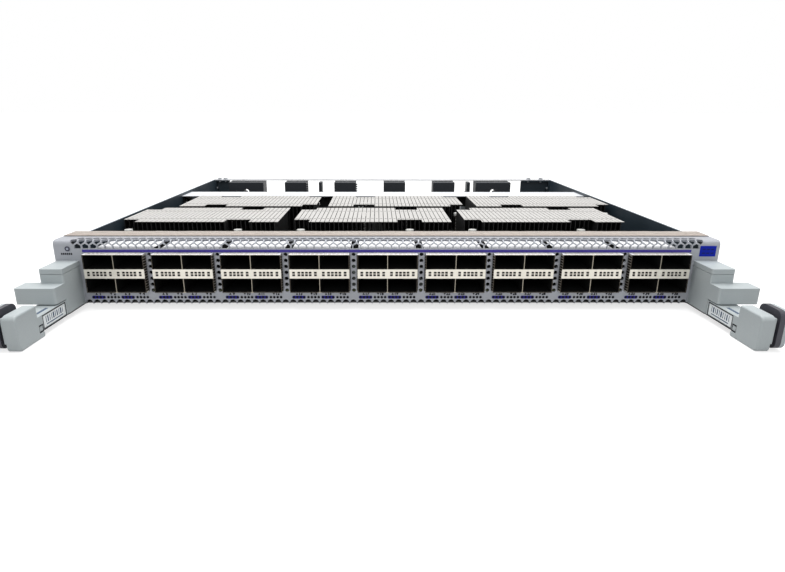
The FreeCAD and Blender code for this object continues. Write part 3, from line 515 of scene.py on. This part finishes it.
def circuit_board():
    """Dark solder mask with faint copper runs showing through, and a paler laminate edge."""
    f = Finish("circuit_board", rough=0.5)
    skin = f.coated(linear(10, 20, 18), linear(16, 30, 26), grain=1.0)
    runs = f.graph.add("ShaderNodeTexBrick", {
        "Vector": f.place, "Scale": 0.35, "Mortar Size": 0.03, "Mortar Smooth": 0.2,
        "Bias": 0.0, "Brick Width": 0.9, "Row Height": 0.2}, offset=0.5).outputs["Fac"]
    colour = f.graph.mix(f.graph.math("MULTIPLY", runs, 0.6), skin["Colour"],
                         linear(26, 50, 40))
    rim = f.between(f.z, *board_edge, 0.05)
    side = f.graph.math("LESS_THAN", f.graph.math("ABSOLUTE", f.graph.upward()), 0.5)
    colour = f.graph.mix(f.graph.math("MULTIPLY", rim, side), colour, linear(120, 125, 90))
    f.set(base_color=f.dust(colour, 0.1))
    return f.bump(runs, 0.03, 0.4)


def cage_nickel():
    """Satin nickel on the middle band and the outside faces, with a painted highlight: the roof
    is pure white.

    Painted shade, nearly black, fills the inside of the pockets and the sides behind the panel;
    the cut edges round the pocket mouths are dark brown-grey, pale near each cage's middle."""
    f = Finish("cage_nickel", rough=0.35, metal=0.4, specular_ior_level=0.2)
    sheet = f.rolled(linear(228, 223, 210), linear(250, 246, 235))
    half = (cage_high.x - cage_low.x) / 2 / MM
    shifted = f.graph.math("ADD", f.x, cage_pitch / MM * 20.5)
    phase = f.graph.math("MODULO", shifted, cage_pitch / MM)
    across = f.graph.math("ABSOLUTE", f.graph.math("SUBTRACT", phase, cage_pitch / MM / 2))
    low, high, front = cage_low.z / MM, cage_high.z / MM, cage_low.y / MM
    deep = f.between(f.y, front + 0.38, cage_high.y / MM - 0.1, 0.04)
    below = f.between(f.z, low - 1, high - 0.1, 0.05)
    within = f.between(across, -1.0, half - 0.1, 0.05)
    inside = f.graph.math("MULTIPLY", f.graph.math("MULTIPLY", deep, below), within)
    shaded_flank = f.graph.math("GREATER_THAN", across, half - 0.1)
    behind = f.graph.math("GREATER_THAN", f.y, panel_front / MM + 0.2)
    shaded_flank = f.graph.math("MULTIPLY", f.graph.math("MULTIPLY", shaded_flank, behind), below)
    # painted shade, nearly black: inside the pockets and the sides behind the panel
    dark = f.graph.math("MAXIMUM", inside, shaded_flank)
    band = f.between(f.z, cage_band[0] / MM, cage_band[1] / MM, 0.05)
    edges = f.graph.math("MULTIPLY", f.graph.math("LESS_THAN", f.y, front + 0.3),
                         f.graph.math("SUBTRACT", 1.0, band))
    edges = f.graph.math("MULTIPLY", edges, below)
    rim = f.graph.mix(f.between(across, -1.0, 1.0, 0.1), linear(66, 60, 52),
                      linear(176, 168, 152))
    # painted highlight: the roof is pure white and non-metal
    lit_roof = f.graph.math("GREATER_THAN", f.z, high - 0.05)
    outer = f.graph.mix(lit_roof, sheet["Colour"], linear(252, 252, 254))
    colour = f.graph.mix(dark, f.graph.mix(edges, outer, rim), linear(4, 4, 4))
    plain = f.graph.math("MAXIMUM", dark, lit_roof)
    f.set(base_color=colour, metallic=f.graph.math("MULTIPLY_ADD", plain, -0.4, 0.4),
          roughness=f.graph.math("MULTIPLY_ADD", dark, 0.45, 0.35))
    return f.bump(sheet["Height"], 0.02, 0.2)


def plated(name, darker, lighter, rough, metal=0.9, stretch=(0.3, 3.0, 3.0)):
    """Plated or bare metal with faint lines."""
    f = Finish(name, rough=rough, metal=metal)
    sheet = f.rolled(darker, lighter, stretch)
    f.set(base_color=sheet["Colour"],
          roughness=f.graph.span(sheet["Blotch"], 0.3, 0.7, rough - 0.06, rough + 0.1))
    return f.bump(sheet["Height"], 0.02, 0.25)


def moulded(name, darker, lighter, rough, grain=2.5, dust=0.1):
    """Moulded plastic or resin with a fine skin."""
    f = Finish(name, rough=rough)
    skin = f.coated(darker, lighter, grain=grain)
    f.set(base_color=f.dust(skin["Colour"], dust),
          roughness=f.graph.span(skin["Drift"], 0.3, 0.7, rough - 0.06, rough + 0.08))
    return f.bump(skin["Height"], 0.04, 0.35)


def ejector_grey():
    """Grained light grey resin, with a painted contact shadow along the foot of the housing and
    the lever.
    """
    f = Finish("ejector_grey", rough=0.5)
    skin = f.coated(linear(172, 180, 182), linear(188, 196, 198), grain=2.5)
    foot = f.graph.math("LESS_THAN", f.z, ejector_shadow_height)
    behind = f.graph.math("GREATER_THAN", f.y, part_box("left_lever_grip")[1].y / MM + 0.5)
    # painted contact shadow along the foot, away from the grip
    foot_shadow_line = f.graph.math("MULTIPLY", foot, behind)
    colour = f.graph.mix(foot_shadow_line, f.dust(skin["Colour"], 0.15), linear(30, 32, 34))
    f.set(base_color=colour,
          roughness=f.graph.span(skin["Drift"], 0.3, 0.7, 0.44, 0.58))
    return f.bump(skin["Height"], 0.04, 0.35)


def fin_aluminium():
    """Mill-finish fins: pale tops, dark between the fins where little light reaches."""
    f = Finish("fin_aluminium", rough=0.5, metal=0.25)
    sheet = f.rolled(linear(184, 182, 179), linear(200, 198, 195), (3.0, 0.12, 3.0))
    top = f.between(f.z, *fin_tops, 0.15)
    f.set(base_color=f.graph.mix(top, linear(18, 18, 19), sheet["Colour"]),
          metallic=f.graph.math("MULTIPLY", top, 0.25))
    return f.bump(sheet["Height"], 0.02, 0.2)


def baffle_white():
    """White coating on top; the underside, the lip and the tabs are painted near black as shade.
    """
    f = Finish("baffle_white", rough=0.45)
    skin = f.coated(linear(214, 217, 222), linear(228, 230, 234), grain=2.0)
    top = f.graph.math("GREATER_THAN", f.z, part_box("air_baffle")[1].z / MM - 0.6)
    # painted shade: all but the top is near black
    f.set(base_color=f.graph.mix(top, linear(16, 17, 19), f.dust(skin["Colour"], 0.06)),
          roughness=f.graph.span(skin["Drift"], 0.3, 0.7, 0.4, 0.55))
    return f.bump(skin["Height"], 0.04, 0.3)


def clear_lens():
    """Clear moulded lens: a bright middle, a dark ring, and a rim moulded in the panel's grey."""
    f = Finish("clear_lens", rough=0.3, ior=1.49)
    skin = f.coated(linear(150, 156, 172), linear(176, 182, 196), grain=1.0)
    low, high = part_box("status_lens")
    across = f.graph.math("SUBTRACT", f.x, (low.x + high.x) / 2 / MM)
    upwards = f.graph.math("SUBTRACT", f.z, (low.z + high.z) / 2 / MM)
    squares = f.graph.math("ADD", f.graph.math("POWER", across, 2.0),
                           f.graph.math("POWER", upwards, 2.0))
    radius = f.graph.math("SQRT", squares)
    ring = f.between(radius, 0.75, 1.75, 0.1)
    colour = f.graph.mix(ring, skin["Colour"], linear(44, 44, 66))
    rim = f.graph.span(radius, 1.7, 1.8)
    f.set(base_color=f.graph.mix(rim, colour, linear(160, 163, 170)))
    return f.bump(skin["Drift"], 0.02, 0.2)


def printed(name, darker, lighter, rough=0.5):
    """Ink or film: an even colour with slight mottling and little gloss."""
    f = Finish(name, rough=rough, specular_ior_level=0.15)
    skin = f.coated(darker, lighter, grain=4.0)
    f.set(base_color=skin["Colour"],
          roughness=f.graph.span(skin["Drift"], 0.3, 0.7, rough - 0.08, rough + 0.08))
    return f.bump(skin["Height"], 0.01, 0.2)


finishes = {
    "tray_slate": tray_slate(),
    "panel_paint": panel_paint(),
    "gasket_cloth": gasket_cloth(),
    "circuit_board": circuit_board(),
    "zinc_steel": plated("zinc_steel", linear(196, 198, 202), linear(230, 232, 235), 0.3,
                         metal=0.7),
    "cage_nickel": cage_nickel(),
    "black_plastic": moulded("black_plastic", linear(12, 17, 24), linear(20, 27, 36), 0.55),
    "spring_finger_steel": plated("spring_finger_steel", linear(34, 29, 24),
                                  linear(70, 62, 52), 0.45, metal=0.3),
    "clear_lens": clear_lens(),
    "label_blue": printed("label_blue", linear(6, 30, 160), linear(12, 40, 178), 0.5),
    "fin_aluminium": fin_aluminium(),
    "bright_screw": plated("bright_screw", linear(236, 236, 232), linear(252, 252, 250), 0.35,
                           metal=0.2),
    "chip_resin": moulded("chip_resin", linear(26, 26, 28), linear(38, 38, 40), 0.4),
    "baffle_white": baffle_white(),
    "power_case": moulded("power_case", linear(40, 40, 44), linear(56, 56, 60), 0.5),
    "capacitor_can": plated("capacitor_can", linear(170, 172, 178), linear(210, 212, 216), 0.3),
    "ejector_grey": ejector_grey(),
    "pin_steel": plated("pin_steel", linear(170, 170, 172), linear(205, 205, 208), 0.25),
    "label_white": printed("label_white", linear(244, 251, 254), linear(252, 255, 255), 0.4),
    "trigger_dark": moulded("trigger_dark", linear(52, 52, 60), linear(68, 68, 76), 0.55),
}
navy_ink = printed("navy_ink", linear(52, 48, 150), linear(60, 56, 164))
# black print, and also the painted shadow lines round the lever's label and latch
black_ink_and_shade = printed("black_ink_and_shade", linear(4, 4, 12), linear(8, 8, 20), 0.6)
# a lighter copy of the finger steel, painted light, for the top and foot leaves
lit_finger_steel = plated("lit_finger_steel", linear(196, 192, 184), linear(232, 229, 222), 0.35, metal=0.3)
label_ink = printed("label_ink", linear(34, 58, 92), linear(46, 72, 106))
deep_ink = printed("deep_ink", linear(10, 22, 96), linear(16, 30, 112))
slot_shade = printed("slot_shade", linear(38, 36, 34), linear(52, 50, 48), 0.7)
contact_gold = plated("contact_gold", linear(196, 160, 84), linear(226, 192, 116), 0.25)
part_body = moulded("part_body", linear(96, 78, 62), linear(126, 106, 86), 0.5, dust=0.05)
part_end = plated("part_end", linear(180, 182, 184), linear(214, 216, 218), 0.3)

for part in frame["record"]["subparts"]:
    node = nodes[part["node"]]
    node.data.materials.clear()
    node.data.materials.append(finishes[part["material_slot"]])


# ---- spring fingers round the cages ------------------------------------------------------
def finger(width):
    """A leaf along Y: its distance from the cage is a parabola that peaks in front."""
    front, back = -4.3 * MM, -0.05 * MM
    y = np.linspace(front, back, 7)
    peak = -2.2 * MM
    reach = np.where(y < peak, peak - front, back + 0.4 * MM - peak)
    lift = 0.02 * MM + finger_bow * (1 - ((y - peak) / reach) ** 2)
    half = width / 2
    rings = [[(-half, v, u), (-half, v, u + finger_sheet), (half, v, u + finger_sheet),
              (half, v, u)] for v, u in zip(y, lift)]
    return loft(rings)


def cage_fingers():
    """Leaves side by side along the edges of every cage's mouth, one piece per direction pair."""
    upright, level = [], []
    for low, high in cage_boxes:
        middle_x, middle_z = (low.x + high.x) / 2, (low.z + high.z) / 2
        for out_x, out_z in ((1, 0), (-1, 0), (0, 1), (0, -1)):
            pitch, width = side_finger if out_x else top_finger
            out = np.array([out_x, 0, out_z], float)
            along = np.cross([0, 1, 0], out)
            span = (high.z - low.z) if out_x else (high.x - low.x)
            count = int((span - 0.4 * MM) / pitch)
            steps = (np.arange(count) - (count - 1) / 2) * pitch
            edge = np.array([middle_x, panel_front, middle_z]) + out * np.array(
                [(high.x - low.x) / 2, 0, (high.z - low.z) / 2])
            turn = np.stack([along, [0, 1, 0], out], -1)
            row = copies(finger(width), edge + steps[:, None] * along,
                         np.broadcast_to(turn, (count, 3, 3)))
            (upright if out_x else level).append(row)
    # Painted light and shade: the side leaves take the dark finger steel, shaded between the
    # cages, and the top and foot leaves its lighter copy.
    beside = piece("side_fingers", together(upright), finishes["spring_finger_steel"], "card",
                   smooth=40)
    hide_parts("cage_collars")
    piece("top_and_foot_fingers", together(level), lit_finger_steel, "card",
          smooth=40)


# ---- gasket on the top flange ------------------------------------------------------------
def gasket():
    """Foam wrapped in cloth: a crowned D profile in Y and Z, carried along X.

    The profile is a superellipse of power 5 over a flat foot; near the ends its rear edge
    moves forwards at 45 degrees and its height falls to a fifth; elsewhere the height ripples
    by a few hundredths of a millimetre."""
    depth = gasket_high.y - gasket_low.y
    height = gasket_high.z - gasket_low.z
    even = np.linspace(gasket_low.x + gasket_corner, gasket_high.x - gasket_corner, 180)
    left = np.linspace(gasket_low.x, gasket_low.x + gasket_corner, 6)[:-1]
    right = np.linspace(gasket_high.x - gasket_corner, gasket_high.x, 6)[1:]
    x = np.concatenate([left, even, right])[::-1]
    cut = np.clip(np.maximum(gasket_low.x + gasket_corner - x,
                             x - gasket_high.x + gasket_corner), 0, None)
    angle = np.linspace(0, math.pi, 15)
    across = np.sign(np.cos(angle)) * np.abs(np.cos(angle)) ** 0.4
    rise = np.sin(angle) ** 0.4
    ripple = 0.03 * MM * (np.sin(x / (5.3 * MM)) + np.sin(x / (3.1 * MM) + 1))
    width = depth - cut
    sloped = 1 - 0.8 * cut / gasket_corner
    y = gasket_low.y + width[:, None] / 2 * (1 + across)
    z = gasket_low.z + ((height - 0.1 * MM + ripple) * sloped)[:, None] * rise
    rings = np.stack([np.broadcast_to(x[:, None], y.shape), y, z], -1)
    made = piece("wrapped_gasket", loft(rings), finishes["gasket_cloth"], "card",
                 smooth=50)
    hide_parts("emi_gasket")


# ---- springs and fin locks ---------------------------------------------------------------
def spring_screw_places():
    """X and Y of the four spring screws of every heatsink."""
    places = []
    for row, boxes in sink_boxes.items():
        for low, high in boxes:
            for step in (corner_screw, inner_screw):
                x = low.x + step if row == "front" else high.x - step
                places += [(x, low.y + screw_edge), (x, high.y - screw_edge)]
    return np.array(places)


def screw_coils():
    """Open coils round the spring screws, between the fin base and the head."""
    turn = coil(2.35 * MM, 0.4 * MM, screw_head_bottom - fin_bottom, 7.0, steps=12)
    places = spring_screw_places()
    places = np.column_stack([places, np.full(len(places), fin_bottom)])
    made = piece("screw_coils", copies(turn, places), finishes["spring_finger_steel"], "card",
                 smooth=60)
    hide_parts("heatsink_springs")


def trigger_coils(side):
    """Two small coils along X behind each trigger."""
    node = side + "_trigger_springs"
    low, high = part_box(node)
    turn = coil(1.6 * MM, 0.25 * MM, high.x - low.x, 3.0)
    middle = (low.z + high.z) / 2
    places = [(low.x, (low.y + high.y) / 2, middle + step * trigger_spring_half_spacing)
              for step in (-1, 1)]
    lying = np.broadcast_to([[0, 0, 1.0], [1, 0, 0], [0, 1, 0]], (2, 3, 3))
    made = piece(side + "_trigger_coils", copies(turn, places, lying),
                 finishes["spring_finger_steel"], side + "_trigger",
                 smooth=60)
    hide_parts(node)


def fin_locks():
    """Two rows of short slots across every heatsink, where each fin hooks into the next, drawn as
    thin marks in painted shade.
    """
    slot = slab((0.7 * MM, -0.55 * MM, 0), (2.5 * MM, 0.55 * MM, ink))
    places = []
    for low, high in [box for boxes in sink_boxes.values() for box in boxes]:
        count = int((high.x - low.x) / fin_pitch)
        x = low.x + fin_first + fin_pitch * np.arange(count)
        for back in lock_rows:
            places.append(np.stack([x, np.full_like(x, low.y + back),
                                    np.full_like(x, high.z)], -1))
    return piece("fin_locks", copies(slot, np.concatenate(places)), slot_shade, "card")


# ---- printing on the panel ---------------------------------------------------------------
def group_places():
    """X of the four light groups under every cage."""
    steps = (np.arange(4) - 1.5) * group_pitch
    return np.array(cage_centres)[:, None] + steps


def on_panel(x, z, y=0.0):
    return np.stack([x, np.full_like(x, panel_front + y), np.full_like(x, z)], -1)


def light_blocks():
    """A navy field with round ends behind the first and third group of every cage."""
    field = stamp(rounded_outline(9.2 * MM, 2.2 * MM, 1.0 * MM), ink)
    x = group_places()[:, ::2].ravel()
    return piece("light_blocks", copies(field, on_panel(x, light_z)), navy_ink, "card")


def light_windows():
    """Four round windows in each group."""
    dot = stamp(circle_outline(window_radius, 12), 2 * ink)
    steps = (np.arange(4) - 1.5) * light_pitch
    x = (group_places().ravel()[:, None] + steps).ravel()
    return piece("light_windows", copies(dot, on_panel(x, light_z)), black_ink_and_shade, "card")


def port_arrows():
    """A triangle over each group, up for an upper port and down for a lower one."""
    up = np.array([(-0.9, -0.7), (0.9, -0.7), (0, 0.85)]) * MM
    down = up[::-1] * (1, -1)
    places = group_places()
    upper = copies(stamp(up, ink), on_panel(places[:, ::2].ravel() + arrow_shift, mark_z))
    lower = copies(stamp(down, ink), on_panel(places[:, 1::2].ravel() + arrow_shift, mark_z))
    piece("upper_port_arrows", upper, black_ink_and_shade, "card")
    return piece("lower_port_arrows", lower, black_ink_and_shade, "card")


def lettering(text, height, depth):
    """Text as a closed mesh: its outline in X and Z, carried forwards by depth."""
    curve = bpy.data.curves.new("lettering", "FONT")
    curve.body = text
    curve.size = height / 0.7
    curve.extrude = depth / 2
    curve.offset = number_weight
    curve.resolution_u = 2
    curve.align_x = "CENTER"
    curve.align_y = "CENTER"
    holder = bpy.data.objects.new("lettering", curve)
    mesh = bpy.data.meshes.new_from_object(holder)
    points = np.zeros(len(mesh.vertices) * 3)
    mesh.vertices.foreach_get("co", points)
    x, y, z = points.reshape(-1, 3).T
    triangles, quads = [], []
    for face in mesh.polygons:
        (triangles if len(face.vertices) == 3 else quads).append(list(face.vertices))
    faces = [np.array(f) for f in (triangles, quads) if f]
    bpy.data.objects.remove(holder)
    bpy.data.curves.remove(curve)
    bpy.data.meshes.remove(mesh)
    return np.stack([x, -z - depth / 2, y], -1), faces


def port_numbers():
    """Plain numbers, 1 to 36, to the right of the triangles."""
    shapes = []
    for number, x in enumerate(group_places().ravel(), 1):
        digits = lettering(str(number), number_height, ink)
        shapes.append(copies(digits, [(x + number_shift, panel_front, mark_z)]))
    return piece("port_numbers", together(shapes), black_ink_and_shade, "card")


def status_marks():
    """Six plain bars under the status light."""
    low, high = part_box("status_lens")
    bar = stamp(rounded_outline(*mark_size, 0.25 * MM), ink)
    x = (low.x + high.x) / 2 + np.linspace(-4.3, 2.1, 6) * MM
    bars = copies(bar, on_panel(x, (low.z + high.z) / 2 - mark_drop))
    return piece("status_marks", bars, black_ink_and_shade, "card")


def ear_label_bars():
    """Two rows of plain bars on the blue field."""
    low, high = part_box("ear_label")
    bar = stamp(rounded_outline(2.2 * MM, 0.9 * MM, 0.3 * MM), ink)
    middle = (np.array(low) + np.array(high)) / 2
    steps = np.array([(x, 0, z) for x in (-2.8, 0, 2.8) for z in (-1.3, 1.3)]) * MM
    places = (middle + steps) * (1, 0, 1) + (0, low.y, 0)
    return piece("ear_label_bars", copies(bar, places), deep_ink, "card")


def arm_label_bars(side):
    """Plain upright bars of three widths along the label on the lever's inner face."""
    low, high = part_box(side + "_arm_label")
    inward, face = inner_face(side, "_arm_label")
    widths = np.array([0.5, 0.9, 0.5, 0.5, 1.2, 0.5, 0.9, 0.5, 1.2, 0.5]) * MM
    y = low.y + np.linspace(3.0 * MM, high.y - low.y - 3.0 * MM, len(widths))
    floor, top = low.z + 2.6 * MM, high.z - 1.0 * MM
    bars = []
    for middle, width in zip(y, widths):
        shape = slab((min(0, inward * ink), -width / 2, 0),
                     (max(0, inward * ink), width / 2, top - floor))
        bars.append(copies(shape, [(face, middle, floor)]))
    rule = slab((min(0, inward * ink), 0, 0), (max(0, inward * ink), y[-1] - y[0], 0.6 * MM))
    bars.append(copies(rule, [(face, y[0], low.z + 1.1 * MM)]))
    return piece(side + "_arm_label_bars", together(bars), label_ink, side + "_lever")


def arm_top_marks(side):
    """A row of six plain bars along the top of the lever, beside the grip."""
    inward, face = inner_face(side, "_ejector_housing")
    bar = slab((-0.95 * MM, -0.75 * MM, 0), (0.95 * MM, 0.75 * MM, ink))
    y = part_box(side + "_arm_label")[0].y + np.linspace(1.3, 11.1, 6) * MM
    places = np.stack([np.full_like(y, face - inward * top_mark_inset), y,
                       np.full_like(y, lever_top)], -1)
    return piece(side + "_arm_top_marks", copies(bar, places), label_ink, side + "_lever")


def inner_face(side, node):
    """The sign of inwards on one side, and the X of a node's inner face."""
    low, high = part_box(side + node)
    return (-1, low.x) if side == "right" else (1, high.x)


def frame_outline(wide, tall, line):
    """A rectangular ring in Y and Z: outer and inner rectangles, each at both of its depths."""
    outer = np.array([(-wide / 2, -tall / 2), (wide / 2, -tall / 2), (wide / 2, tall / 2),
                      (-wide / 2, tall / 2)])
    inner = outer - np.sign(outer) * line
    rings = [np.column_stack([np.full(4, x), edge])
             for edge, x in ((inner, 0), (outer, 0), (outer, ink), (inner, ink))]
    return loft(rings, closed=True)


def arm_outlines(side):
    """Dark shadow lines round the label's recess and round the latch behind the grip."""
    low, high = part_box(side + "_arm_label")
    arm_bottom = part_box(side + "_lever_arm")[0].z
    inward, face = inner_face(side, "_ejector_housing")
    turn = np.diag([inward, inward, 1.0])[None]
    middle_z = (low.z + high.z) / 2
    label = frame_outline(high.y - low.y + 2 * outline_margin,
                          high.z - low.z + 2 * outline_margin, 0.6 * MM)
    latch = frame_outline(*latch_size, 0.7 * MM)
    shapes = [copies(label, [(face, (low.y + high.y) / 2, middle_z)], turn),
              copies(latch, [(face, low.y - latch_gap, arm_bottom + latch_rise)], turn)]
    return piece(side + "_arm_outlines", together(shapes), black_ink_and_shade, side + "_lever")


# ---- contacts and small parts on the board -----------------------------------------------
def port_contacts():
    """A row of gilt contacts on the floor of every socket's connector slot."""
    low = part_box("port_connectors")[0]
    contact = slab((-0.2 * MM, 0, 0), (0.2 * MM, 4.5 * MM, 0.15 * MM))
    middle = (contact_count - 1) / 2
    steps = (np.arange(contact_count) - middle) * contact_pitch
    places = []
    for cage_x in cage_centres:
        for column in (-socket_offset, socket_offset):
            for z in slot_floors:
                x = cage_x + column + steps
                places.append(np.stack([x, np.full_like(x, low.y + contact_back),
                                        np.full_like(x, z)], -1))
    return piece("port_contacts", copies(contact, np.concatenate(places)), contact_gold, "card")


def connector_combs():
    """Short guide teeth up the right edge of the second and third backplane connectors."""
    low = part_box("backplane_connectors")[0]
    tooth = slab((0, 0, 0), (2.0 * MM, 3.0 * MM, 1.3 * MM))
    z = low.z + np.arange(1.0, 30.0, 2.7) * MM
    places = [np.stack([np.full_like(z, x), np.full_like(z, low.y), z], -1)
              for x in comb_places]
    return piece("connector_combs", copies(tooth, np.concatenate(places)),
                 finishes["black_plastic"], "card")


def small_parts():
    """Rows of two-ended chip parts on the open strips of the board, thinned by a fixed draw."""
    draw = np.random.default_rng(7)
    body = slab((-0.75 * MM, -0.6 * MM, 0), (0.75 * MM, 0.6 * MM, 0.7 * MM))
    ends = together([slab((x - 0.3 * MM, -0.62 * MM, 0), (x + 0.3 * MM, 0.62 * MM, 0.72 * MM))
                     for x in (-0.9 * MM, 0.9 * MM)])
    rows = np.array([(x, y) for y in part_lines
                     for x in np.arange(-part_reach, part_reach + 1, part_pitch)])
    clear = np.ones(len(rows), bool)
    for x in standoff_columns:
        clear &= np.abs(rows[:, 0] - x) > standoff_room
    clear &= ~((rows[:, 1] > 300) & (rows[:, 0] > 60))
    rows = rows[clear & (draw.random(len(rows)) < 0.7)]
    half_depth = -panel_front / MM
    places = np.column_stack([rows[:, 0], rows[:, 1] - half_depth,
                              np.full(len(rows), board_high.z / MM)]) * MM
    piece("small_parts", copies(body, places), part_body, "card")
    return piece("small_part_ends", copies(ends, places), part_end, "card")


cage_fingers()
gasket()
screw_coils()
fin_locks()
light_blocks()
light_windows()
port_arrows()
port_numbers()
status_marks()
ear_label_bars()
port_contacts()
connector_combs()
small_parts()
for side in ("left", "right"):
    trigger_coils(side)
    arm_label_bars(side)
    arm_outlines(side)
    arm_top_marks(side)


# ---- floor, light and camera -------------------------------------------------------------
def pale_floor():
    """A wide white floor that takes the shadow near the card and stays white far from it."""
    material = bpy.data.materials.new("floor_white")
    material.use_nodes = True
    graph = Graph(material.node_tree)
    shader = material.node_tree.nodes["Principled BSDF"]
    shader.inputs["Base Color"].default_value = (0.5, 0.5, 0.5, 1)
    shader.inputs["Roughness"].default_value = 0.9
    shader.inputs["Emission Color"].default_value = (1, 1, 1, 1)
    place = graph.add("ShaderNodeTexCoord").outputs["Object"]
    away = graph.add("ShaderNodeVectorMath", {0: place}, operation="LENGTH").outputs["Value"]
    glow = graph.span(away, 0.6, 1.6, 0.7, 0.98)
    graph.feed(shader.inputs["Emission Strength"], graph.math("MULTIPLY", graph.seen(), glow))
    half = 60.0
    points = np.array([(-half, -half, 0), (half, -half, 0), (half, half, 0), (-half, half, 0)])
    mesh = bpy.data.meshes.new("floor")
    mesh.from_pydata((points + (0, 0, cad_low.z)).tolist(), [], [(0, 1, 2, 3)])
    mesh.materials.append(material)
    floor = bpy.data.objects.new("floor", mesh)
    bpy.context.scene.collection.objects.link(floor)


def white_world():
    """Even white surroundings: full white where seen, a plainer level as light."""
    world = bpy.data.worlds.new("surroundings")
    bpy.context.scene.world = world
    world.use_nodes = True
    graph = Graph(world.node_tree)
    back = world.node_tree.nodes["Background"]
    back.inputs["Color"].default_value = (1, 1, 1, 1)
    graph.feed(back.inputs["Strength"], graph.math("MULTIPLY_ADD", graph.seen(), 0.8, 0.2))


def softbox(name, place, aim, size, power):
    """A square lamp at a place, turned to face a point."""
    lamp = bpy.data.lights.new(name, "AREA")
    lamp.shape = "SQUARE"
    lamp.size = size
    lamp.energy = power
    holder = bpy.data.objects.new(name, lamp)
    holder.location = place
    holder.rotation_euler = (Vector(aim) - Vector(place)).to_track_quat("-Z", "Y").to_euler()
    bpy.context.scene.collection.objects.link(holder)


def front_camera():
    """A wide lens a little above the card, in front of its middle, looking down at it."""
    place = Vector((-6.92, -548.27, 123.92)) * MM
    pitch, yaw, roll = map(math.radians, (17.118, 0.313, 0.088))
    ahead = Vector((math.sin(yaw) * math.cos(pitch), math.cos(yaw) * math.cos(pitch),
                    -math.sin(pitch)))
    right = Vector((math.cos(yaw), -math.sin(yaw), 0))
    above = right.cross(ahead)
    across = right * math.cos(roll) + above * math.sin(roll)
    up = above * math.cos(roll) - right * math.sin(roll)
    data = bpy.data.cameras.new("camera")
    data.sensor_width = 36.0
    data.lens = 25.827
    data.shift_x = 0.0159
    data.clip_start = 0.01
    camera = bpy.data.objects.new("camera", data)
    camera.matrix_world = Matrix.Translation(place) @ Matrix(
        (across, up, -ahead)).transposed().to_4x4()
    bpy.context.scene.collection.objects.link(camera)
    bpy.context.scene.camera = camera


pale_floor()
white_world()
softbox("overhead", (0.0, 0.1, 1.3), (0, 0, 0), 1.4, 26.0)
softbox("front", (0.0, -1.5, 0.8), (0, 0, 0), 0.9, 5.0)
front_camera()
bpy.context.scene.view_settings.view_transform = "Standard"
